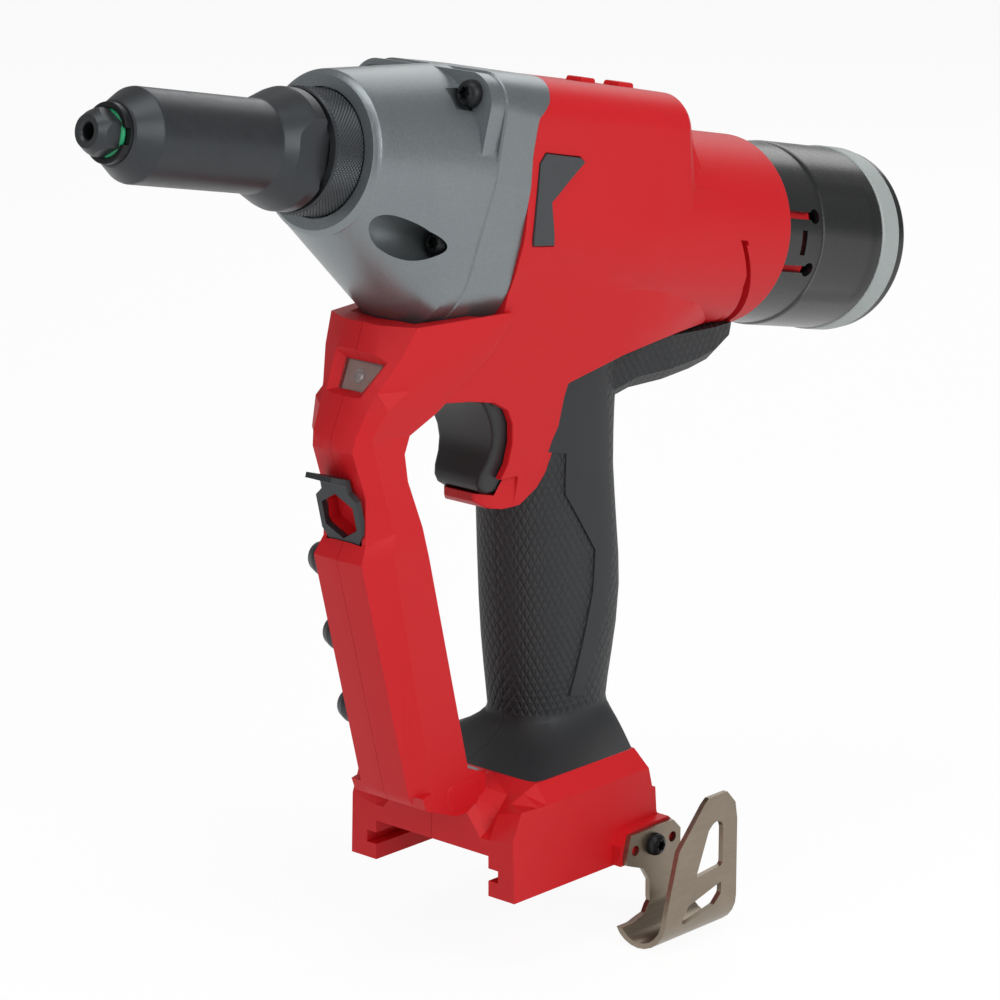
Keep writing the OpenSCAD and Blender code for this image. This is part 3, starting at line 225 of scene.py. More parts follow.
bright_steel = grained("bright_steel", (196, 197, 198), (168, 170, 173), 900, (0.18, 0.34), 0.08,
                       metallic=1.0)
gear_steel = grained("gear_steel", (150, 152, 156), (112, 114, 119), 700, (0.28, 0.46), 0.12, metallic=1.0)
cast_plate = grained("cast_plate", (165, 167, 168), (140, 142, 144), 500, (0.42, 0.6), 0.25, metallic=0.9)
dress(bright_steel, "ball_screw", "mandrel_tube", "jaw_spring", "front_bearing", "rear_bearing",
      "pinion_bearing", "motor_bearings", "trigger_spring")
dress(gear_steel, "jaw_case", "jaws", "jaw_pusher", "ball_nut", "nut_gear", "planet_carrier",
      "planet_gear_1", "planet_gear_2", "planet_gear_3", "ring_gear", "rotor_shaft")
dress(cast_plate, "bearing_plate")


# Motor and electrics
# Laminated core with lacquered copper coils, a moulded fan and end plate, a potted control block
# in the foot and a switch behind the trigger; all of them lie in ribs of the shells.

def layers(place, scale, distortion):
    values = {"Vector": place, "Scale": scale, "Distortion": distortion}
    return place.node("ShaderNodeTexWave", {"bands_direction": "X"}, values)


core_steel, shader, place = blank("core_steel")
sheets = layers(place, 260.0, 0.4)
feed(shader, "Base Color", tint(sheets, srgb(96, 98, 102), srgb(140, 142, 146)))
feed(shader, "Roughness", 0.38 + sheets * 0.2)
shader.inputs["Metallic"].default_value = 0.9
copper_wire, shader, place = blank("copper_wire")
turns = layers(place, 330.0, 0.2)
feed(shader, "Base Color", tint(turns, srgb(126, 62, 24), srgb(196, 112, 58)))
feed(shader, "Roughness", 0.25 + turns * 0.15)
shader.inputs["Metallic"].default_value = 0.85
relief(shader, turns, 0.5, 0.0003)
inner_plastic = grained("inner_plastic", (40, 41, 43), (30, 31, 33), 600, (0.42, 0.6), 0.15)
potting = grained("potting", (36, 38, 42), (24, 26, 30), 260, (0.2, 0.4), 0.1, coat=0.2)
brass = grained("brass", (190, 158, 92), (164, 130, 70), 600, (0.25, 0.45), 0.08, metallic=1.0)
dress(core_steel, "motor_stator", "motor_rotor")
dress(copper_wire, "motor_windings")
dress(inner_plastic, "motor_fan", "motor_end_plate", "trigger_switch", "terminal_block")
dress(potting, "control_module")
dress(brass, "terminal_blades", "hook_inserts")


# Gear housing
# Satin grey die casting that carries the gear train. Its round front swells into the body's
# section, a lobe below covers the motor gear, and four screws in pockets hold it to the body.

# The foot's front edge lies this far ahead of the frame's origin, in metres
FOOT_FRONT = 0.035
TILT = math.radians(11.3)
# The barrel's frame in millimetres: stations along the nose's axis, across, and up from the axis
BARREL = Matrix.Translation((FOOT_FRONT, 0, 0.2256)) @ Matrix.Rotation(-TILT, 4, "Y") @ Matrix.Scale(0.001, 4)


def outward(piece, pointed=False):
    alone(piece)
    bpy.ops.object.mode_set(mode="EDIT")
    bpy.ops.mesh.select_all(action="SELECT")
    if pointed:
        bpy.ops.mesh.quads_convert_to_tris(quad_method="SHORTEST_DIAGONAL", ngon_method="BEAUTY")
    else:
        bpy.ops.mesh.vert_connect_nonplanar(angle_limit=math.radians(0.05))
    bpy.ops.mesh.select_all(action="SELECT")
    bpy.ops.mesh.normals_make_consistent(inside=False)
    bpy.ops.object.mode_set(mode="OBJECT")


def loft(name, rings, place, pointed=False):
    """A closed form through rings of points in millimetres, extruded ring by ring."""
    bpy.ops.object.select_all(action="DESELECT")
    bpy.ops.mesh.primitive_circle_add(vertices=len(rings[0]), radius=1, fill_type="NGON")
    piece = bpy.context.object
    piece.name = name
    mesh = piece.data
    for vertex, point in zip(mesh.vertices, rings[0]):
        vertex.co = place @ Vector(point)
    last = [tuple(vertex.co) for vertex in mesh.vertices]
    for ring in rings[1:]:
        bpy.ops.object.mode_set(mode="EDIT")
        bpy.ops.mesh.extrude_region_move()
        bpy.ops.object.mode_set(mode="OBJECT")
        corner = {point: i for i, point in enumerate(last)}
        for vertex in mesh.vertices:
            if vertex.select:
                i = corner[tuple(vertex.co)]
                vertex.co = place @ Vector(ring[i])
                last[i] = tuple(vertex.co)
    outward(piece, pointed)
    return piece


def hull_ring(circles, count=96):
    """Outline drawn tight round circles, as (across, up) points: one for each direction."""
    ring = []
    for i in range(count):
        turn = math.tau * (i + 0.5) / count
        across, up = math.cos(turn), math.sin(turn)
        y, h, r = max(circles, key=lambda c: c[0] * across + c[1] * up + c[2])
        ring.append((y + r * across, h + r * up))
    return ring


def along(stations, circles_at, count=96):
    return [[(s, y, h) for y, h in hull_ring(circles_at(s), count)] for s in stations]


def rod(name, low, high, y, h, r, place, count=40):
    circle = hull_ring([(0, 0, r)], count)
    return loft(name, [[(s, y + p, h + q) for p, q in circle] for s in (low, high)], place)


def slab(name, outline, low, high, axis, place):
    """An outline in millimetres, extruded along one axis."""
    def spot(a, b, t):
        return {"X": (t, a, b), "Y": (a, t, b), "Z": (a, b, t)}[axis]
    return loft(name, [[spot(a, b, t) for a, b in outline] for t in (low, high)], place)


def combine(piece, other, how, keep=False):
    step = piece.modifiers.new("combine", "BOOLEAN")
    step.operation = how
    step.solver = "EXACT"
    step.object = other
    alone(piece)
    bpy.ops.object.modifier_apply(modifier=step.name)
    bpy.ops.object.mode_set(mode="EDIT")
    bpy.ops.mesh.select_all(action="SELECT")
    bpy.ops.mesh.remove_doubles(threshold=0.000002)
    bpy.ops.mesh.fill_holes(sides=12)
    bpy.ops.object.mode_set(mode="OBJECT")
    if not keep:
        bpy.data.objects.remove(other)


def copy_of(piece, name):
    alone(piece)
    bpy.ops.object.duplicate()
    twin = bpy.context.object
    twin.name = name
    return twin


def soften(piece, width, steps=2, angle=28, smooth=32):
    step = piece.modifiers.new("soften", "BEVEL")
    step.width = width * 0.001
    step.segments = steps
    step.limit_method = "ANGLE"
    step.angle_limit = math.radians(angle)
    step.use_clamp_overlap = True
    step.miter_outer = "MITER_ARC"
    alone(piece)
    bpy.ops.object.modifier_apply(modifier=step.name)
    bpy.ops.object.shade_smooth_by_angle(angle=math.radians(smooth))
    step = piece.modifiers.new("even_light", "WEIGHTED_NORMAL")
    step.keep_sharp = True
    bpy.ops.object.modifier_apply(modifier=step.name)
    return piece


def seat(piece, material, slot, body, *nodes):
    if not piece.data.materials:
        piece.data.materials.append(material)
    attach(piece, body)
    if nodes:
        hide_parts(*nodes)


RIM_S, RIM_R = 46, 24.4
LOBE_DROP, LOBE_R = 26.5, 23.4
FRONT_LENGTH = 38
MOTOR_DROP = 27
upper_seat, upper_y, upper_h = 8, 20.5, 22.2
lower_seat, lower_y, lower_h = 10.9, 18.6, -22.1


def front_circles(s):
    """The casting's section at a station: round at its rim, with a lobe that grows below it."""
    rounding = (max(0.0, s - RIM_S) / 2.3) ** 2 * 1.9
    r = RIM_R - rounding + 3.4 * max(0.0, RIM_S - s) / FRONT_LENGTH
    low = min(1.0, max(0.0, (RIM_S - s) / FRONT_LENGTH))
    lobe_r = RIM_R + (LOBE_R - RIM_R) * low if s < RIM_S else r
    return [(0, 0, r), (0, 3 * low, r - 1.9 * low), (0, -LOBE_DROP * low, lobe_r)]


def flange_circles(grow):
    """The section of the flange behind it, which meets the body."""
    def circles(s):
        k = min(1.0, max(0.0, (1.7 - s) / 17.7))
        at, r = 18.5 - 2 * k, 10.5 + 2.4 * k
        corners = [(at, at, r + grow), (-at, at, r + grow)]
        return corners + [(0, 0, 28.4 + 0.3 * k + grow), (0, -LOBE_DROP, 23.5 + grow)]
    return circles


front_stations = [48.3, 48.0, 47.4, 46.6, RIM_S, 42, 38, 34, 30, 26, 22, 18, 14, 11, 8, 4, 0]
housing = loft("gear_housing_cast", along(front_stations, front_circles), BARREL)
lug_circles = [(19, 19, 9.6), (-19, 19, 9.6), (14.8, 1, 12.2), (-14.8, 1, 12.2)]
lugs = loft("lugs", along([8, -1], lambda s: lug_circles, 120), BARREL)
combine(housing, lugs, "UNION")
flange_stations = [1.7, 1.2, -4, -8, -12.5, -24]
flange_rings = along(flange_stations, lambda s: flange_circles(-0.3 if s > 1.5 else 0.3)(s), 110)
flange = loft("flange", flange_rings, BARREL)
# The rear edge, as (station, height): a tab at the top, then down the side
tab_edge = [(-21.6, 32), (-20.8, 28.4), (-19.8, 26.3), (-17.6, 22.3), (-15.0, 19.6), (-12.9, 17.6),
            (-12.5, 15.6), (-12.6, 6), (-16.4, -20), (-17.4, -40)]
behind_side = [(-40, 32)] + tab_edge + [(-17.4, -70), (-40, -70)]
combine(flange, slab("behind", behind_side, -60, 60, "Y", BARREL), "DIFFERENCE")
combine(housing, flange, "UNION")
for side in (1, -1):
    seat_rod = rod("screw_seat", upper_seat, 14.5, side * upper_y, upper_h, 5.0, BARREL, 44)
    combine(housing, seat_rod, "DIFFERENCE")
    way = ((lower_seat, lower_y, lower_h, 4.9), (22, 19.4, -22, 5.6),
           (36, 22.4, -21.4, 6.6), (50, 28, -21, 7.4))
    scoop_rings = []
    for s, y, h, r in way:
        scoop_rings.append([(s, side * (y + p), h + q) for p, q in hull_ring([(0, 0, r)], 44)])
    combine(housing, loft("scoop", scoop_rings, BARREL), "DIFFERENCE")
nose_bores = ((-30, -5, 0, 14), (-5.01, 22, 0, 22), (20, 32, 0, 18.05), (30, 60, 0, 15.6))
motor_bores = ((-30, -2, -MOTOR_DROP, 16.5), (-3, 22, -MOTOR_DROP, 12.5))
for low, high, h, r in nose_bores + motor_bores:
    combine(housing, rod("bore", low, high, 0, h, r, BARREL), "DIFFERENCE")
combine(housing, rod("collar_seat", 45.4, 60, 0, 0, 19.1, BARREL, 72), "DIFFERENCE")
soften(housing, 0.6, 3, 24, 20)

cast_grey = grained("cast_grey", (112, 119, 122), (146, 152, 154), 1500, (0.28, 0.44), 0.22, metallic=0.75,
                    drift=30.0, detail=2.0, share=0.6, depth=0.00025)
seat(housing, cast_grey, "cast_grey", "frame", "gear_housing")


# Housing screws
# Four black pan-head screws with a star recess, driven from the front through the casting's
# pockets into the body. They are forged steel, blackened in oil.

STAR_HEAD = 4.2
star = []
for i in range(12):
    reach = 2.3 if i % 2 == 0 else 1.55
    star.append((reach * math.cos(math.tau * i / 12), reach * math.sin(math.tau * i / 12)))


def turned(name, profile, place, steps=64):
    """A profile of (station, radius) points in millimetres, spun round the local X axis."""
    bpy.ops.object.select_all(action="DESELECT")
    bpy.ops.mesh.primitive_circle_add(vertices=len(profile), radius=1, fill_type="NOTHING")
    piece = bpy.context.object
    piece.name = name
    for vertex, (s, r) in zip(piece.data.vertices, profile):
        vertex.co = (s, 0, r)
    bpy.ops.object.mode_set(mode="EDIT")
    bpy.ops.mesh.select_all(action="SELECT")
    bpy.ops.mesh.spin(steps=steps, angle=math.tau, center=(0, 0, 0), axis=(1, 0, 0))
    bpy.ops.mesh.select_all(action="SELECT")
    bpy.ops.mesh.remove_doubles(threshold=0.001)
    bpy.ops.mesh.normals_make_consistent(inside=False)
    bpy.ops.object.mode_set(mode="OBJECT")
    piece.matrix_world = place
    bpy.ops.object.transform_apply(location=True, rotation=True, scale=True)
    return piece


def pan_screw(name, head_r, head_t, shank_r, length, place):
    """A screw along the local X axis, with its head's underside at the origin."""
    profile = [(-length, 0), (-length, shank_r * 0.7), (-length + 1.5, shank_r), (0, shank_r), (0, head_r),
               (head_t * 0.3, head_r), (head_t * 0.62, head_r * 0.93), (head_t * 0.86, head_r * 0.76),
               (head_t, head_r * 0.5), (head_t, 0)]
    screw = turned(name, profile, place, 40)
    scale = head_r / STAR_HEAD
    outline = [(a * scale, b * scale) for a, b in star]
    combine(screw, slab("socket", outline, head_t - 1.9, head_t + 3, "X", place), "DIFFERENCE")
    return soften(screw, 0.12, 2, 35)


black_screw = grained("black_screw", (44, 45, 47), (30, 31, 32), 900, (0.32, 0.5), 0.12, metallic=0.7)
screws = []
for s, y, h in ((upper_seat, upper_y, upper_h), (upper_seat, -upper_y, upper_h),
                (lower_seat, lower_y, lower_h), (lower_seat, -lower_y, lower_h)):
    place = BARREL @ Matrix.Translation((s, y, h))
    screws.append(pan_screw("housing_screw", STAR_HEAD, 3.5, 2, s + 23, place))
for i, screw in enumerate(screws):
    screw.name = f"housing_screw_{i + 1}"
    seat(screw, black_screw, "black_screw", "frame", "housing_screws")


# Nose: knurled collar, casing and tip
# The collar clamps the casing to the housing and has a cut diamond knurl. The casing is a turned
# tube with a flared root and two wrench flats, blackened; the tip is a hexagon with the mandrel's
# bore, a green ring shows its size, and a split ring guards it.

KNURL_TEETH, KNURL_ROWS, KNURL_DEPTH = 176, 19, 0.16
knurl_rings = []
collar_steps = [(45.6, 17.9), (46.2, 18.4)]
collar_steps += [(46.6 + 0.62 * j, 18.55) for j in range(KNURL_ROWS)]
collar_steps += [(58.4, 18.4), (58.9, 17.8)]
for j, (s, r) in enumerate(collar_steps):
    ring = []
    cut = 2 <= j < 2 + KNURL_ROWS
    for i in range(KNURL_TEETH):
        turn = math.tau * i / KNURL_TEETH
        peak = KNURL_DEPTH if (i + j) % 2 else -KNURL_DEPTH
        reach = r + (peak if cut else 0.0)
        ring.append((s, reach * math.cos(turn), reach * math.sin(turn)))
    knurl_rings.append(ring)
collar = loft("knurled_ring", knurl_rings, BARREL, pointed=True)
combine(collar, rod("collar_bore", 40, 70, 0, 0, 15.56, BARREL, 88), "DIFFERENCE")
black_steel = grained("black_steel", (48, 51, 54), (68, 71, 74), 420, (0.3, 0.5), 0.06, metallic=0.6,
                      drift=46.0, detail=5.0, share=0.5)
seat(collar, black_steel, "black_steel", "frame", "knurled_collar")

tube_profile = [(39, 11.2), (39, 15.5), (60.4, 15.5), (60.4, 17.5), (60.9, 17.9), (64.6, 17.9), (66.2, 17.45),
                (74.2, 14.05), (75.2, 13.7), (76.4, 13.6), (120.9, 13.6), (121.6, 13.45), (128.0, 9.4),
                (128.5, 8.8), (128.5, 5.05), (119.5, 5.05), (118.5, 11.2)]
casing = turned("nose_tube", tube_profile, BARREL, 112)
flat_outline = ((58, 14.6), (70.2, 14.6), (70.8, 15), (74, 30), (58, 30))
for side in (1, -1):
    flat = slab("flat", [(s, y * side) for s, y in flat_outline], -30, 30, "Z", BARREL)
    combine(casing, flat, "DIFFERENCE")
soften(casing, 0.15, 2, 16, 14)
seat(casing, black_steel, "black_steel", "frame", "nose_casing")


def hexagon(r, height=0.0):
    turns = [math.tau * (i + 0.5) / 6 for i in range(6)]
    return [(r * math.cos(turn), height + r * math.sin(turn)) for turn in turns]


tip = slab("tip", hexagon(6.93), 131, 137.99, "X", BARREL)
crown_profile = [(130, 0), (130, 6.8), (134.3, 6.8), (135.3, 6.4), (138, 4.7), (138, 0)]
combine(tip, turned("crown", crown_profile, BARREL, 64), "INTERSECT")
shank_profile = [(119.6, 0), (119.6, 5), (131.6, 5), (131.6, 0)]
combine(tip, turned("shank", shank_profile, BARREL, 48), "UNION")
way_profile = [(110, 0), (110, 2.45), (137.2, 2.45), (138.4, 3.3), (140, 3.3), (140, 0)]
combine(tip, turned("mandrel_way", way_profile, BARREL, 48), "DIFFERENCE")
soften(tip, 0.25, 2, 25)
seat(tip, black_steel, "black_steel", "frame", "nosepiece")

seal_profile = [(129.5, 5.03), (129.5, 6.3), (129.75, 6.75), (130.25, 6.95), (130.75, 6.75), (131.0, 6.3),
                (131.0, 5.03)]
seal = turned("size_ring", seal_profile, BARREL, 64)
alone(seal)
bpy.ops.object.shade_smooth_by_angle(angle=math.radians(50))
green_seal = grained("green_seal", (24, 158, 104), (14, 132, 84), 700, (0.35, 0.5), 0.08)
seat(seal, green_seal, "green_seal", "frame", "nosepiece_seal")

guard_profile = [(128.52, 5.15), (128.52, 8.6), (130.9, 8.6), (131.1, 8.3), (131.1, 7.1), (129.5, 7.1),
                 (129.5, 5.15)]
guard = turned("tip_guard", guard_profile, BARREL, 72)
gap = slab("gap", [(129.6, -2.4), (140, -2.4), (140, 2.4), (129.6, 2.4)], 0, 20, "Y", BARREL)
combine(guard, gap, "DIFFERENCE")
soften(guard, 0.2, 2, 30)
seat(guard, black_screw, "black_steel", "frame", "nosepiece_retainer")


# Red shells
# Two halves of glass-filled nylon, moulded with a fine texture and screwed together on the tool's
# mid-plane. They make the body behind the casting, the block round the trigger, the front strut
# and the battery foot; the seam shows along the strut's front.

TOOL = Matrix.Translation((FOOT_FRONT, 0, 0)) @ Matrix.Scale(0.001, 4)
COLLECTOR_DROP = 12.9
# The shoulders of the body, as (station, across, up, radius), where they sink into the neck
HUMP = ((-84, 16.5, 16.5, 12.7), (-88, 14, 16, 12.6), (-92, 10.6, 14.6, 12.8), (-96, 6.6, 12.4, 12.9),
        (-100, 2.4, 9.8, 12.8), (-103, 0, 7.6, 11.4))


def body_circles(grow):
    def circles(s):
        y, h, r = HUMP[0][1:]
        for (s0, *a), (s1, *b) in zip(HUMP, HUMP[1:]):
            if s <= s0:
                k = min(1.0, (s0 - s) / (s0 - s1))
                y, h, r = [p + (q - p) * k for p, q in zip(a, b)]
        swell = 27.5 + 4.3 * min(1.0, (-16.3 - s) / 56) if s > -90 else 30.4
        under = 24.4 if s > -88 else 18.0
        shoulders = [(y, h, r + grow), (-y, h, r + grow)]
        return shoulders + [(0, -COLLECTOR_DROP, swell + grow), (0, -26, under + grow)]
    return circles


def neck_circles(s):
    return [(0, -COLLECTOR_DROP, 31 - max(0.0, -138.8 - s) ** 2 * 0.6)]


body_stations = [-12.8, -30, -45, -60, -72, -80, -84, -88, -92, -96, -100, -103]
shell = loft("shell", along(body_stations, body_circles(0.0)), BARREL)
neck = loft("neck", along([-70, -90, -110, -138.8, -139.6, -140], neck_circles, 104), BARREL)
combine(shell, neck, "UNION")
panel_side = [(-52, 8), (-84, 8), (-109, 5.7), (-116.2, -11.3), (-126.5, -40), (-124, -44), (-52, -44)]
slit_side = [(-112.8, -13.4), (-116.4, -13.4), (-137.6, -42.6), (-134.2, -42.6)]
for side in (1, -1):
    panel = slab("panel", panel_side, 8 * side, 40 * side, "Y", BARREL)
    bulge_rings = along([-45, -84, -130], lambda s: [(0, -COLLECTOR_DROP, 28.6 if s > -50 else 32.0)], 100)
    combine(panel, loft("bulge", bulge_rings, BARREL), "INTERSECT")
    combine(shell, panel, "UNION")
    slit = slab("slit", slit_side, 8 * side, 40 * side, "Y", BARREL)
    combine(slit, rod("core", -139, -100, 0, -COLLECTOR_DROP, 28.6, BARREL, 72), "DIFFERENCE")
    combine(shell, slit, "DIFFERENCE")
bump_section = ((-4.4, 26), (4.4, 26), (3.2, 30.7), (-3.2, 30.7))
for ends in ((-60, -66.5), (-78, -85)):
    bump = loft("bump", [[(s, y, h) for y, h in bump_section] for s in ends], BARREL)
    soften(bump, 0.6, 2, 30)
    combine(shell, bump, "UNION")


def block_half(x, z):
    """Half the width of the block round the trigger, which tapers forward and downward."""
    return 12.5 - 0.0759 * (x - 37.5) + 0.1606 * (z - 148)


def tapered(name, outline, inset):
    """A side view between the block's tapering sides, set in from them."""
    rings = [[(x, side * (block_half(x, z) - inset), z) for x, z in outline] for side in (-1, 1)]
    return loft(name, rings, TOOL)


# The block's side view runs down from the strut, round the trigger's arch and under the chin
block_side = [(-8, 182.6), (-4, 174), (2, 165), (8, 159.5), (11.5, 156.6), (-0.2, 155.1), (-10.2, 153),
              (-16.2, 149.6), (-19, 144.9), (-20, 138.5), (-19.3, 131.7), (-16.8, 126.7), (-11.9, 122.9),
              (-12.3, 119.8), (-15.5, 117.6), (-20, 116.8), (-26.7, 117.2), (-33, 121.5), (-38, 129),
              (-40, 150), (-41, 154), (-64, 159.4), (-64, 190), (-14, 200), (-11.7, 194), (-6.5, 184.8)]
block = tapered("block", block_side, 0)
chin_corner = ((-10, 2.5), (-12.6, 6.5), (-16.6, 9.8), (-24, 12.4), (-24, 15), (-10, 15))
for side in (1, -1):
    corner = slab("corner", [(x, y * side) for x, y in chin_corner], 112, 127, "Z", TOOL)
    combine(block, corner, "DIFFERENCE")
soften(block, 0.9, 3, 40)
combine(shell, block, "UNION")
keel_rows = ((-50, (20.1, 157), (21.1, 164), (25.3, 190)), (-66, (22.5, 160), (23.6, 166.5), (27.4, 190)),
             (-80, (22, 161.3), (24.2, 168), (28, 190)), (-95, (19.5, 161.6), (23, 168.8), (28.2, 189)),
             (-110, (15.5, 161), (20.5, 169), (27.5, 187)), (-121, (10, 163), (16, 170), (23, 184)))
keel_rings = []
for x, *half in keel_rows:
    keel_rings.append([(x, y, z) for y, z in half] + [(x, -y, z) for y, z in reversed(half)])
combine(shell, loft("keel", keel_rings, TOOL), "UNION")

# Each row of the strut: the front's middle and edge, the crease on the side and the rear
strut_rows = [((19.3, 19.0, 30.6, 9.5), (14.5, 30, 15.2), (-4, 31)),
              ((21.6, 21.2, 34, 10), (15.8, 33.6, 15.2), (-2.5, 36)),
              ((41, 40.6, 111.5, 10), (32, 112.5, 15.2), (15.4, 110)),
              ((38, 37.6, 117, 8.8), (30.3, 120, 14), (17.2, 119.5)),
              ((37.8, 37.2, 131, 8.6), (33.2, 132.3, 12.3), (21.8, 134.5)),
              ((42.9, 42.2, 145.5, 8.3), (37.2, 146.2, 12.3), (22.8, 142.5)),
              ((42.6, 41.6, 150, 8.6), (38.2, 150, 12.5), (20.5, 148)),
              ((39.2, 37.8, 157, 9.6), (34, 158.4, 15), (13.2, 153.6)),
              ((36.3, 34.6, 163, 11.2), (26, 163.2, 16.4), (8.5, 157.6)),
              ((32.4, 29, 173, 15.6), (7.3, 172.8, 20.6), (-4.2, 169)),
              ((29, 24.2, 182, 17.8), (-10, 182, 24), (-13, 181))]
strut_rings = []
for (fx, ex, fz, f), (cx, cz, w), (rx, rz) in strut_rows:
    bx, bz = rx + (cx - rx) * 0.1, rz + (cz - rz) * 0.1
    tuck = 2 if cz < 155 else 0.4
    strut_rings.append([(ex, -f, fz), (fx, -f * 0.42, fz), (fx, f * 0.42, fz), (ex, f, fz),
                        (cx, w, cz), (bx, w, bz), (rx, w - tuck, rz),
                        (rx, tuck - w, rz), (bx, -w, bz), (cx, -w, cz)])
combine(shell, loft("strut", strut_rings, TOOL), "UNION")

# Half sections of the foot, as (across, up), from its rear to the ramps beside the strut's root
LEG_Y, BAY_Z = 24, 13
RAMP_X, RAMP_LENGTH = -14.5, 11.5
foot_full = ((LEG_Y, 0), (34.8, 0), (34.8, 28), (30, 34), (22, 34), (12, 34))
foot_low = ((LEG_Y, 0), (34.8, 0), (34.5, 28.6), (24.8, 25.8), (21, 20.4), (12.4, 30.4))
foot_front = ((LEG_Y, 0), (34.8, 0), (34.2, 20), (24.5, 18.2), (20.8, 18.2), (12, 28.6))
foot_rows = [(-70, 9 / 34, foot_full)]
for i in range(4):
    part = i / 3
    half = [(y + (v - y) * part, z + (w - z) * part) for (y, z), (v, w) in zip(foot_full, foot_low)]
    foot_rows.append((RAMP_X + RAMP_LENGTH * part, 0, half))
foot_rows.append((0.6, 0, foot_front))
foot_rings = []
for x, lean, half in foot_rows:
    ring = [(x + lean * z, y, z) for y, z in half]
    ring += [(x + lean * z, -y, z) for y, z in reversed(half)]
    ring += [(x + lean * BAY_Z, -LEG_Y, BAY_Z), (x + lean * BAY_Z, LEG_Y, BAY_Z)]
    foot_rings.append(ring)
foot = loft("foot", foot_rings, TOOL)
bed_side = [(-15, 28), (-4.4, 28), (-4.4, 33.2), (-5.2, 34), (-15, 34)]
combine(foot, slab("bed", bed_side, -9.4, 9.4, "Y", TOOL), "UNION")
BOSS_Y = 38.5
rail_section = ((23, 5), (28, 5), (28, 9), (23, 9))
boss_side = [(-73, 0.5), (-45, 0.5), (-45, 7), (-50, 11.5), (-68, 11.5), (-73, 7)]
for side in (1, -1):
    rail = slab("rail", [(side * y, z) for y, z in rail_section], -63, 5, "X", TOOL)
    combine(foot, rail, "DIFFERENCE")
    combine(foot, slab("boss", boss_side, 30 * side, BOSS_Y * side, "Y", TOOL), "UNION")
stop_side = [(-69.6, 0.02), (-65, 0.02), (-65, 20), (-68, 20)]
combine(foot, slab("stop", stop_side, -33, 33, "Y", TOOL), "UNION")
root_side = [(20.4, 34.4), (18.8, 30.2), (5.2, 25), (-8, 25), (-8, 35.5), (-2, 38.5)]
combine(foot, slab("root", root_side, -15.1, 15.1, "Y", TOOL), "UNION")
plinth_side = [(9.6, 31), (8, 27), (-4.4, 27), (-4.4, 31.6), (-2.4, 35.4), (7.4, 35.4), (9.2, 34.2)]
plinth = slab("plinth", plinth_side, -15.5, 15.5, "Y", TOOL)
soften(plinth, 0.3, 2, 30)
combine(foot, plinth, "UNION")
combine(shell, foot, "UNION")

HANDLE_X = -53


def handle_ring(a, b, z, count):
    """An oval round the handle's middle."""
    turns = [math.tau * i / count for i in range(count)]
    return [(HANDLE_X + a * math.cos(turn), b * math.sin(turn), z) for turn in turns]


core = loft("core", [handle_ring(17, 11.5, z, 26) for z in (30.3, 118.3)], TOOL)
combine(shell, core, "UNION")
stem = slab("stem", [(-64, 112.6), (-36, 112.6), (-36, 166), (-64, 168)], -9, 9, "Y", TOOL)
combine(shell, stem, "UNION")
combine(shell, rod("spigot", -154, -139, 0, -COLLECTOR_DROP, 27.1, BARREL, 72), "UNION")


# Cuts in the shells: the room for the casting, its tab and its screws, the pads' nests and the inner spaces
def room_circles(s):
    return [(y, h, r + 0.4) for y, h, r in front_circles(max(s, 0))]


def tab_circles(s):
    corner, far_corner, round_part, lobe = flange_circles(0.75)(min(s, -4))
    sides = [(y, h, r + 4.5) for y, h, r in (corner, far_corner, round_part)]
    return sides + [(lobe[0], lobe[1], lobe[2] + (2.5 if s < -7 else 0))]


room = loft("room", along([RIM_S, 30, 14, 8, 2, -4, -12], room_circles, 108), BARREL)
combine(shell, room, "DIFFERENCE")
tab_room = loft("tab_room", along([12, -6, -8, -24], tab_circles, 100), BARREL)
behind_side = [(-40, 32)] + [(s - 0.25, h - 0.2) for s, h in tab_edge] + [(-17.65, -70), (-40, -70)]
combine(tab_room, slab("behind", behind_side, -60, 60, "Y", BARREL), "DIFFERENCE")
combine(shell, tab_room, "DIFFERENCE")
nest_side = [(-16.3, 4.4), (-18.1, 7.8), (-33.6, 7.6), (-36, 6.2), (-24.4, -6.8), (-29.1, -20),
             (-20.3, -20.7), (-19.1, -17.5)]
for side in (1, -1):
    combine(shell, rod("thread", -24, -10, side * upper_y, upper_h, 2.1, BARREL, 20), "DIFFERENCE")
    combine(shell, rod("thread", -24, -10, side * lower_y, lower_h, 2.1, BARREL, 20), "DIFFERENCE")
    combine(shell, slab("nest", nest_side, 26.4 * side, 40 * side, "Y", BARREL), "DIFFERENCE")
for low, high, h, r in ((-24.1, -10, 0, 25), (-100, -16, 0, 16.5), (-145, -99, 0, 3.6),
                        (-24.1, -10, -MOTOR_DROP, 18), (-85.2, -23, -MOTOR_DROP, 19.1),
                        (-160, -112, -COLLECTOR_DROP, 24)):
    combine(shell, rod("space", low, high, 0, h, r, BARREL, 56), "DIFFERENCE")
pocket_side = [(6, 155.1), (-36.5, 155.1), (-36.5, 121.4), (-18, 121.4), (6, 126)]
combine(shell, tapered("pocket", pocket_side, 2.4), "DIFFERENCE")
switch_side = [(-58.1, 121.9), (-36.4, 121.9), (-36.4, 152.1), (-58.1, 152.1)]
combine(shell, slab("switch_seat", switch_side, -8.1, 8.1, "Y", TOOL), "DIFFERENCE")
hollow_side = [(-57, 16.5), (-8.4, 16.5), (-8.4, 25.6), (-16, 30), (-57, 31)]
combine(shell, slab("hollow", hollow_side, -25, 25, "Y", TOOL), "DIFFERENCE")
terminal_side = [(-55.1, 5), (-38.9, 5), (-38.9, 17), (-55.1, 17)]
combine(shell, slab("block_hole", terminal_side, -15.05, 15.05, "Y", TOOL), "DIFFERENCE")

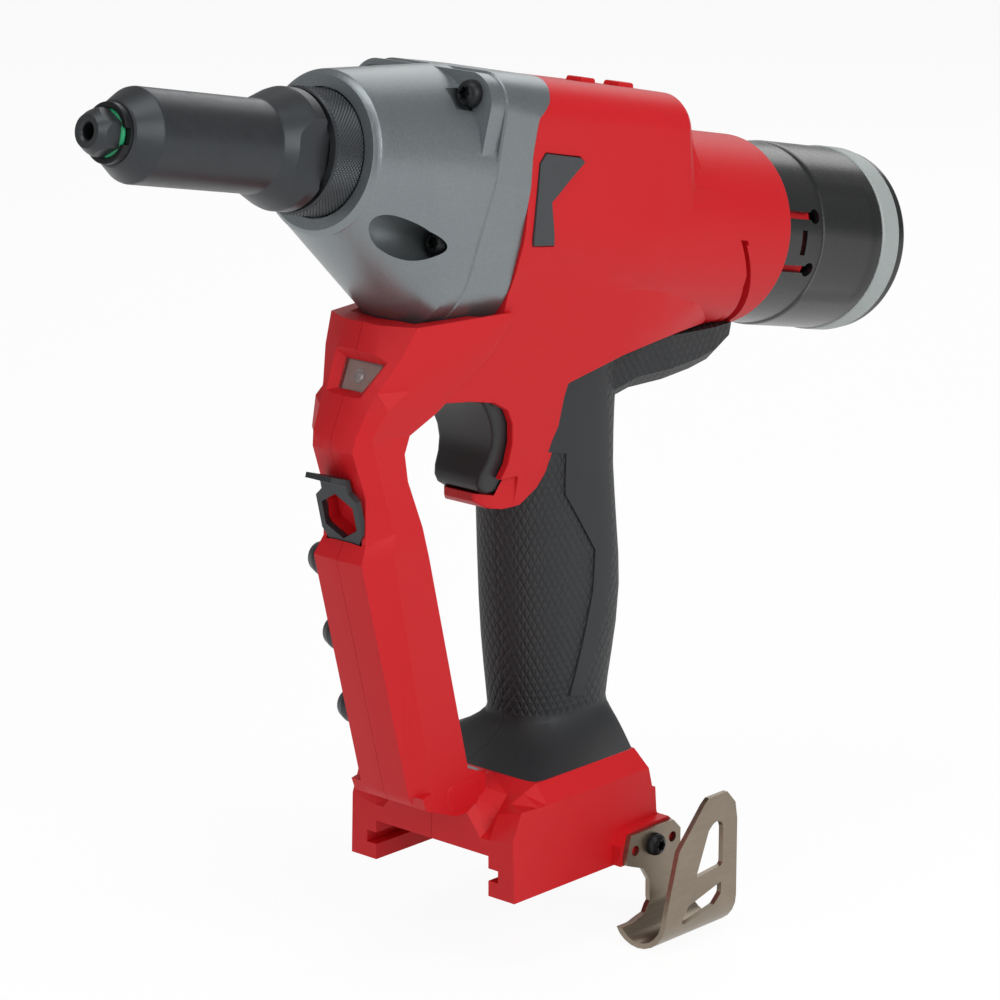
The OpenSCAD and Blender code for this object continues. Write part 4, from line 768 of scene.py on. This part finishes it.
LEAN = math.radians(13.4)
STRUT = Matrix.Translation((0.0566, 0, 0.034)) @ Matrix.Rotation(LEAN, 4, "Y") @ Matrix.Scale(0.001, 4)
TOP = STRUT @ Matrix.Translation((-6, 0, 116)) @ Matrix.Rotation(-LEAN - math.radians(22), 4, "Y")
LAMP_Y = 2.2
recess_rings = []
for x, d in ((-5.2, 0), (-3.0, 0), (0.2, 6.2), (3.5, 12.6)):
    left, low, high = LAMP_Y - 7.9 - d * 0.8, 16.1 - d * 0.4, 25.5 + d * 0.45
    low_right, high_right = LAMP_Y + 1.9 + d * 0.5, LAMP_Y + 7.9 + d
    recess_rings.append([(x, left, low), (x, low_right, low), (x, high_right, high), (x, left, high)])
combine(shell, loft("recess", recess_rings, TOP), "DIFFERENCE")
slot_section = [(-7.3, 74.1), (7.3, 74.1), (7.3, 90), (-7.3, 90)]
combine(shell, slab("slot", slot_section, -5.7, -3.1, "X", STRUT), "DIFFERENCE")
wrench_hexagon = hexagon(7.4, 92.5)
combine(shell, slab("deep", wrench_hexagon, -9.8, 0, "X", STRUT), "DIFFERENCE")


def facing(side):
    """A turn that lays a turned piece's axis across the tool, towards one side."""
    return Matrix.Rotation(side * math.pi / 2, 4, "Z")


def joiner_place(x, z, depth):
    """Where a shell screw's head sits; it is driven from the right."""
    return TOOL @ Matrix.Translation((x, -depth + 4, z)) @ facing(-1)


SPARE_HEIGHTS = (72, 46.5, 21)
HOOK_X, HOOK_Z = -59, 5
spare_profile = [(-16, 0), (-16, 4.7), (-4, 4.7), (-4, 0)]
for z in SPARE_HEIGHTS:
    hole = turned("hole", spare_profile, STRUT @ Matrix.Translation((-10, 0, z)) @ facing(1), 32)
    combine(shell, hole, "DIFFERENCE")
insert_profile = [(29, 0), (29, 3.1), (39, 3.1), (39, 0)]
for side in (1, -1):
    hole = turned("hole", insert_profile, TOOL @ Matrix.Translation((HOOK_X, 0, HOOK_Z)) @ facing(side), 32)
    combine(shell, hole, "DIFFERENCE")
shell_screw_places = ((13.1, 41.2, 12.2), (30.3, 122.4, 11.8), (26, 161.5, 14), (-66, 151.5, 13),
                      (-53, 46, 9.5), (-27, 163.5, 14.5), (-106, 167.5, 22))
head_profile = [(4, 0), (4, 3.4), (40, 3.4), (40, 0)]
for x, z, depth in shell_screw_places:
    hole = turned("hole", head_profile, joiner_place(x, z, depth) @ Matrix.Translation((-4, 0, 0)), 28)
    combine(shell, hole, "DIFFERENCE")

red_plastic = grained("red_plastic", (196, 20, 28), (208, 26, 34), 1300, (0.42, 0.56), 0.16, specular=0.3,
                      drift=18.0, detail=3.0, share=0.3)
whole_side = [(-200, -60), (120, -60), (120, 320), (-200, 320)]
for name, side in (("left", 1), ("right", -1)):
    half = copy_of(shell, f"{name}_shell_red")
    combine(half, slab("keep", whole_side, side * 0.06, side * 60, "Y", TOOL), "INTERSECT")
    soften(half, 0.55, 2, 24)
    seat(half, red_plastic, "red_plastic", "frame", f"{name}_shell")
bpy.data.objects.remove(shell)


# Side pads
# Two dark grey rubber bumpers, moulded flat with bevelled rims and glued into nests in the body's
# sides, just behind the casting.

pad_rubber = grained("pad_rubber", (66, 69, 72), (54, 57, 60), 1100, (0.55, 0.7), 0.2)
pad_side = [(-16.6, 4.2), (-18.3, 7.4), (-33.4, 7.2), (-35.5, 6.0), (-24, -6.8), (-28.6, -19.6),
            (-20.5, -20.3), (-19.4, -17.4)]
for name, side in (("left", 1), ("right", -1)):
    pad = slab(f"{name}_bumper", pad_side, 26.45 * side, 40 * side, "Y", BARREL)
    skin = loft("skin", along([-10, -16.3, -30, -45], body_circles(0.6), 92), BARREL)
    combine(pad, skin, "INTERSECT")
    soften(pad, 0.5, 3, 30)
    seat(pad, pad_rubber, "pad_rubber", "frame", f"{name}_side_pad")


# Rubber grip
# Soft black rubber, moulded over the handle, its flared boot and the tail under the body. Most of
# it has a pattern of small scales; a smooth band, raised a little, runs down each side.

# Rows of the handle, as (height, half length, half width, middle)
GRIP_ROWS = ((46, 20.2, 15.2, -53), (52, 20.9, 15.6, -53.1), (60, 22, 16.3, -53.4), (70, 23.3, 17, -53.8),
             (82, 24.3, 17.4, -54), (92, 24.4, 17.4, -53.6), (100, 24.2, 17.3, -53), (112, 23.9, 17.1, -52.2),
             (122, 23.8, 17, -51.5), (132, 24.3, 17.3, -50.9), (140, 25, 17.6, -50.4), (150, 25.7, 18, -50.2),
             (160, 26.3, 18.4, -50), (168, 26.6, 18.6, -50))


def grip_ring(a, b, centre, z, power, count=72):
    ring = []
    for i in range(count):
        turn = math.tau * (i + 0.5) / count
        c, q = math.cos(turn), math.sin(turn)
        x = centre + a * math.copysign(abs(c) ** (2 / power), c)
        ring.append((x, b * math.copysign(abs(q) ** (2 / power), q), z))
    return ring


def grip_rows(grow):
    rows = []
    for k in (0.0, 0.04, 0.12, 0.25, 0.42, 0.62, 0.82):
        ease = (1 - k) ** 2.4
        a, b = 20.2 + 3.8 * ease + grow, 15.2 + 14.6 * ease + grow
        rows.append(grip_ring(a, b, -53 + 14.6 * ease, 34.02 + 12 * k, 2.5 + 12 * ease))
    for z, a, b, centre in GRIP_ROWS:
        rows.append(grip_ring(a + grow, b + grow, centre, z, 2.5))
    return rows


red_edge = [(-10, 118), (-13.6, 118.6), (-22.6, 119.6), (-29.9, 127.4), (-32.8, 141.3), (-35, 152.3),
            (-54.7, 156.6), (-73.7, 157.6), (-89.3, 160.4), (-130, 158), (-130, 240), (40, 240), (40, 118)]
smooth_band = [(-34, 133), (-42.5, 131.2), (-42.6, 118), (-55.8, 97.6), (-54.7, 84.7), (-46.4, 51.5),
               (-52, 50.2), (-61.4, 76.3), (-66, 96.7), (-65.3, 108.2), (-63.6, 134.4), (-61.8, 142.8),
               (-60, 160), (-30, 160)]
# Rows of the tail, as (station, top, bottom, half width)
tail_rows = [(-58, 166, 139, 11), (-66, 168, 141, 14.5), (-77, 170, 144.3, 16.5), (-92, 170, 144.5, 17.5),
             (-106, 172, 145.4, 17), (-116, 171, 146.6, 16), (-125, 169, 149.4, 14), (-130, 166, 153.4, 11)]
tail_rings = []
for x, top, bottom, w in tail_rows:
    tail_rings.append([(x, -w, top), (x, w, top), (x, w, bottom + 5), (x, w - 4, bottom + 1),
                       (x, 4 - w, bottom + 1), (x, -w, bottom + 5)])
SCALE_X, SCALE_Z = 0.0031, 0.0046
BOOT_TOP = 0.0475


def scales(name, smooth):
    """Black rubber, either plain or with rows of small overlapping scales."""
    material, shader, place = blank(name)
    drift = cloud(place, 40.0)
    fine = cloud(place, 1500, 3.0)
    feed(shader, "Base Color", tint(drift * 0.6 + fine * 0.4, srgb(29, 31, 33), srgb(39, 41, 44)))
    feed(shader, "Roughness", 0.5 + fine * 0.16)
    if smooth:
        relief(shader, fine, 0.18, 0.0002)
        return material
    split = place.node("ShaderNodeSeparateXYZ", {}, {0: place}, 0)
    y = Wire(split.tree, split.socket.node.outputs[1])
    z = Wire(split.tree, split.socket.node.outputs[2])
    across = split - y.work("ABSOLUTE", y) * 0.9
    first = across / SCALE_X + z / SCALE_Z
    second = z / SCALE_Z - across / SCALE_X
    a = first.work("PINGPONG", first, 0.5)
    b = second.work("PINGPONG", second, 0.5)
    rise = first.work("FRACT", first) * 0.35
    ridge = a.work("MINIMUM", a, b)
    height = ridge.work("SMOOTH_MIN", ridge, 0.16) + rise * 0.35
    relief(shader, height + fine * 0.08, 1.0, 0.0016)
    return material


grip_scales = scales("grip_scales", False)
grip_smooth = scales("grip_smooth", True)
for name, side in (("left", 1), ("right", -1)):
    grip = loft(f"{name}_grip_rubber", grip_rows(0.0), TOOL)
    combine(grip, loft("tail", tail_rings, TOOL), "UNION")
    over = slab("over", red_edge, -60, 60, "Y", TOOL)
    combine(grip, over, "DIFFERENCE", keep=True)
    grip.data.materials.append(grip_scales)
    band = loft("band", grip_rows(0.5), TOOL)
    combine(band, slab("mask", smooth_band, 5 * side, 40 * side, "Y", TOOL), "INTERSECT")
    combine(band, over, "DIFFERENCE")
    soften(band, 0.4, 2, 40)
    band.data.materials.append(grip_smooth)
    combine(grip, slab("keep", whole_side, side * 0.05, side * 60, "Y", TOOL), "INTERSECT")
    inner = loft("inner", [handle_ring(17.2, 11.7, z, 24) for z in (30, 170)], TOOL)
    combine(grip, inner, "DIFFERENCE")
    soften(grip, 0.5, 2, 40)
    boot = [polygon for polygon in grip.data.polygons if polygon.center.z < BOOT_TOP]
    grip.data.materials.append(grip_smooth)
    for polygon in boot:
        polygon.material_index = 1
    alone(band)
    grip.select_set(True)
    bpy.context.view_layer.objects.active = grip
    bpy.ops.object.join()
    seat(grip, grip_scales, "grip_rubber", "frame", f"{name}_grip")


# Trigger
# Black moulded nylon with a hollow for one finger; it slides straight back into the shells and a
# spring behind it pushes it out again.

trigger_side = [(-9.2, 154.2), (-24, 154.4), (-28, 151), (-28, 125.5), (-24, 122.4), (-17, 121.9),
                (-14.2, 122.3), (-11.9, 123.8), (-10.9, 126.2), (-11.7, 129.2), (-14, 133), (-15.3, 137),
                (-15.1, 141), (-13.5, 145.4), (-11.2, 149.4), (-9.2, 152.2)]
trigger = tapered("trigger_key", trigger_side, 2.9)
soften(trigger, 2.2, 5, 50, 60)
well_profile = [(-29, 0), (-29, 4.6), (-23.2, 4.6), (-23.2, 0)]
well = turned("well", well_profile, TOOL @ Matrix.Translation((0, 0, 138)), 32)
combine(trigger, well, "DIFFERENCE")
alone(trigger)
bpy.ops.object.shade_smooth_by_angle(angle=math.radians(40))
black_plastic = grained("black_plastic", (36, 37, 39), (28, 29, 31), 1200, (0.36, 0.5), 0.14)
seat(trigger, black_plastic, "black_plastic", "trigger", "trigger")


# Work light
# A clear polycarbonate lens over a small board with one chip, pressed into a bevelled recess of
# the strut's front.

def lamp_plate(name, steps, left, low_right, high_right, low, high):
    """A plate in the recess's outline; each step is its depth and how far it is set in."""
    rings = []
    for x, d in steps:
        rings.append([(x, LAMP_Y - left + d, low + d), (x, LAMP_Y + low_right - d * 0.5, low + d),
                      (x, LAMP_Y + high_right - d, high - d), (x, LAMP_Y - left + d, high - d)])
    return loft(name, rings, TOP)


tray = lamp_plate("lamp_tray", ((-5.1, 0), (-4.5, 0), (-4.3, 0.6)), 7.6, 1.6, 7.5, 16.4, 25.2)
soften(tray, 0.1, 2, 30)
lamp_tray = grained("lamp_tray", (206, 184, 178), (176, 154, 150), 500, (0.35, 0.5), 0.1)
seat(tray, lamp_tray, "clear_lens", "frame", "led_board")
chip_profile = [(-4.4, 0), (-4.4, 2.1), (-4.0, 2.1), (-4.05, 1.5), (-3.9, 1.3), (-3.84, 0.9), (-3.8, 0.4),
                (-3.8, 0)]
chip = turned("lamp_chip", chip_profile, TOP @ Matrix.Translation((0, 0.6, 20.9)), 40)
soften(chip, 0.04, 2, 30)
seat(chip, bright_steel, "clear_lens", "frame", "led_board")
lens = lamp_plate("lens", ((-3.75, 0), (-3.2, 0), (-3.0, 0.5)), 7.8, 1.8, 7.8, 16.2, 25.4)
soften(lens, 0.1, 2, 30)
clear_lens, shader, place = blank("clear_lens")
haze = cloud(place, 300)
feed(shader, "Base Color", tint(haze, srgb(196, 186, 184), srgb(216, 208, 206)))
feed(shader, "Roughness", 0.05 + haze * 0.08)
shader.inputs["Transmission Weight"].default_value = 1.0
shader.inputs["IOR"].default_value = 1.3
seat(lens, clear_lens, "clear_lens", "frame", "led_lens")


# Nosepiece wrench and spare tips
# The wrench is a stamped and blackened steel plate with a hexagonal hole and a bent thumb tab; it
# slides up out of a slot in the strut. Three spare tips are pressed into the strut's far side.

plate_outline = [(-6.2, 74.5), (6.2, 74.5), (6.2, 84), (8.4, 87.4), (8.4, 98.2), (5.4, 100.8), (5.4, 104.6),
                 (-5.4, 104.6), (-5.4, 100.8), (-8.4, 98.2), (-8.4, 87.4), (-6.2, 84)]
plate = slab("wrench_plate", plate_outline, -5.4, -3.4, "X", STRUT)
combine(plate, slab("hexagon_hole", wrench_hexagon, -10, 10, "X", STRUT), "DIFFERENCE")
thumb_side = [(-5.3, 102.6), (-3.6, 102.6), (-3.2, 103.4), (2.2, 107), (1.3, 108.4), (-5.3, 104.5)]
combine(plate, slab("thumb", thumb_side, -5.3, 5.3, "Y", STRUT), "UNION")
soften(plate, 0.3, 2, 30, 25)
seat(plate, black_steel, "black_steel", "wrench", "wrench")
tip_profile = [(5.6, 4.7), (15.1, 4.7), (15.1, 5.4), (17.2, 5.6), (18, 5.3), (20.2, 4.4), (20.7, 4),
               (20.7, 2), (5.6, 2)]
for i, z in enumerate(SPARE_HEIGHTS):
    place = STRUT @ Matrix.Translation((-10, 0, z)) @ facing(-1)
    spare = turned(f"spare_tip_{i + 1}", tip_profile, place, 48)
    soften(spare, 0.15, 2, 30)
    seat(spare, black_steel, "black_steel", "frame", "spare_nosepieces")


# Foot fittings
# The terminal block and its blades stay as the CAD has them. A small grey sensor panel lies in the
# foot's top, in front of the rubber boot, and seven black screws join the shells.

grey_panel = grained("grey_panel", (140, 145, 148), (118, 123, 126), 700, (0.35, 0.5), 0.1)
dress(grey_panel, "status_panel")
joiners = []
for x, z, depth in shell_screw_places:
    joiners.append(pan_screw("shell_screw", 3.2, 2.2, 1.6, depth + 4, joiner_place(x, z, depth)))
for i, screw in enumerate(joiners):
    screw.name = f"shell_screw_{i + 1}"
    seat(screw, black_screw, "black_screw", "frame", "shell_screws")


# Belt hook
# A strip of spring steel, stamped with two windows and bent round under the foot's edge, with a
# warm nickel plating. One black screw holds its flange on a boss of the foot.

HOOK_T = 1.8
BEND_Y, BEND_Z = 49.3, -11.7
outer = BOSS_Y + 18 + HOOK_T


def bend(r, start, sweep):
    turns = [start + sweep * k / 12 for k in range(13)]
    return [(BEND_Y + r * math.cos(turn), BEND_Z + r * math.sin(turn)) for turn in turns]


strip = bend(10.8, math.pi, math.pi) + [(outer + HOOK_T, 24), (outer, 24)]
strip += bend(9, 0.0, -math.pi) + [(40.3, 10.5), (BOSS_Y, 10.5)]
hook = slab("hook_strip", strip, -78, -35, "X", TOOL)
plan_side = [(-76, -40), (-40.5, -40), (-40.8, -20), (-41.8, -9.9), (-47.7, 10), (-59.6, 22.3), (-62.5, 24.4),
             (-70.6, 24.4), (-75, 19.6), (-76, 14)]
combine(hook, slab("plan", plan_side, 30, 70, "Y", TOOL), "INTERSECT")
rear_waist = [(-100, -12), (-72, -12), (-72, 7), (-68, 11), (-66, 40), (-100, 40)]
front_waist = [(-51.5, 40), (-46, 7), (-46, 1), (-54, -2), (-57, -6.5), (-57, -13.5), (-53.5, -16.4),
               (-46, -17.6), (0, -17.6), (0, 40)]
for waist in (rear_waist, front_waist):
    combine(hook, slab("waist", waist, 30, BEND_Y, "Y", TOOL), "DIFFERENCE")
upper_window = [(-69, 0.3), (-56, -0.8), (-62, 13.2), (-64.6, 15.4), (-67.4, 15.4), (-69, 13.6)]
lower_window = [(-68.4, -5.2), (-52.4, -9.2), (-49.4, -13.4), (-50.2, -15), (-65, -12), (-68.4, -9)]
for window in (upper_window, lower_window):
    opening = slab("opening", window, 52, 80, "Y", TOOL)
    soften(opening, 1.2, 3, 30)
    combine(hook, opening, "DIFFERENCE")
for x, r in ((HOOK_X, 2.2), (-68, 1.7), (-50, 1.7)):
    place = TOOL @ Matrix.Translation((x, 0, HOOK_Z)) @ facing(1)
    combine(hook, turned("hole", [(30, 0), (30, r), (45, r), (45, 0)], place, 32), "DIFFERENCE")
soften(hook, 0.4, 2, 28)
nickel_steel, shader, place = blank("nickel_steel")
stretch = place.node("ShaderNodeMapping", {}, {0: place, 3: (1.0, 1.0, 9.0)})
brushed = cloud(stretch, 160, 5.0)
drift = cloud(place, 50.0)
feed(shader, "Base Color", tint(brushed * 0.5 + drift * 0.5, srgb(116, 104, 90), srgb(160, 148, 132)))
feed(shader, "Roughness", 0.26 + brushed * 0.2)
shader.inputs["Metallic"].default_value = 0.95
relief(shader, brushed, 0.06, 0.0002)
seat(hook, nickel_steel, "nickel_steel", "frame", "belt_hook")
place = TOOL @ Matrix.Translation((HOOK_X, 40.3, HOOK_Z)) @ facing(1)
hook_screw = pan_screw("hook_bolt", 3.6, 3, 1.6, 9, place)
seat(hook_screw, black_screw, "black_screw", "frame", "belt_hook_screw")


# Mandrel collector
# A blow-moulded black bottle with a bayonet catch on the shells' spigot, flat panels round its
# side, a pale grey band and a screwed end cap. It twists off to be emptied.

REAR = BARREL @ Matrix.Translation((0, 0, -COLLECTOR_DROP))
PANEL_HALF = math.cos(math.radians(36))
# Rows of the bottle, as (station, radius, how far its panels are sunk)
bottle_rows = ((-140.4, 29.2, 0), (-140.8, 29.6, 0), (-157.2, 29.6, 0), (-158, 30.1, 0.1),
               (-159.4, 30.2, 0.6), (-184, 30.2, 0.6), (-185.4, 30.2, 0.1),
               (-189.5, 30.2, 0), (-189.9, 29.8, 0))
bottle_rings = []
for s, r, sunk in bottle_rows:
    ring = []
    for i in range(96):
        turn = math.tau * i / 96
        reach = r - (sunk if abs(math.cos(turn)) > PANEL_HALF else 0.0)
        ring.append((s, reach * math.cos(turn), reach * math.sin(turn)))
    bottle_rings.append(ring)
bottle = loft("bottle", bottle_rings, REAR)
combine(bottle, rod("inside", -200, -130, 0, 0, 27.5, REAR, 90), "DIFFERENCE")
slot_outline = [(-154, -1.2), (-130, -1.2), (-130, 1.2), (-154, 1.2)]
eye_profile = [(20, 0), (20, 2.4), (40, 2.4), (40, 0)]
window_outline = [(-150, -4), (-147.5, -4), (-147.5, 4), (-150, 4)]
for side in (1, -1):
    for turn in (-17, 17):
        place = REAR @ Matrix.Rotation(math.radians(turn + (0 if side > 0 else 180)), 4, "X")
        combine(bottle, slab("slot", slot_outline, 20, 40, "Y", place), "DIFFERENCE")
        eye = turned("eye", eye_profile, place @ Matrix.Translation((-154, 0, 0)) @ facing(1), 28)
        combine(bottle, eye, "DIFFERENCE")
    place = REAR @ Matrix.Rotation(0 if side > 0 else math.pi, 4, "X")
    combine(bottle, slab("window", window_outline, 20, 40, "Y", place), "DIFFERENCE")
soften(bottle, 0.3, 2, 30)
bottle_black = grained("bottle_black", (28, 29, 30), (22, 23, 24), 1000, (0.2, 0.32), 0.08)
seat(bottle, bottle_black, "black_plastic", "collector", "collector_bottle")
ring_profile = [(-189.9, 27.5), (-189.9, 30.2), (-190.4, 30.6), (-198.4, 30.6),
                (-198.9, 30.2), (-198.9, 27.5)]
ring = turned("pale_ring", ring_profile, REAR, 112)
soften(ring, 0.15, 2, 30)
pale_plastic = grained("pale_plastic", (168, 176, 174), (154, 162, 161), 900, (0.4, 0.52), 0.1)
seat(ring, pale_plastic, "pale_plastic", "collector", "collector_band")
cap_profile = [(-198.9, 0), (-190.9, 0), (-190.9, 25.4), (-190.9, 27.4), (-198.9, 27.4), (-198.9, 30.0),
               (-201.9, 30.0), (-202.9, 29.4), (-203.4, 28.6), (-203.4, 20), (-202.6, 19), (-202.6, 0)]
cap = turned("end_cap", cap_profile, REAR, 112)
soften(cap, 0.25, 2, 25)
seat(cap, bottle_black, "black_plastic", "collector", "collector_cap")
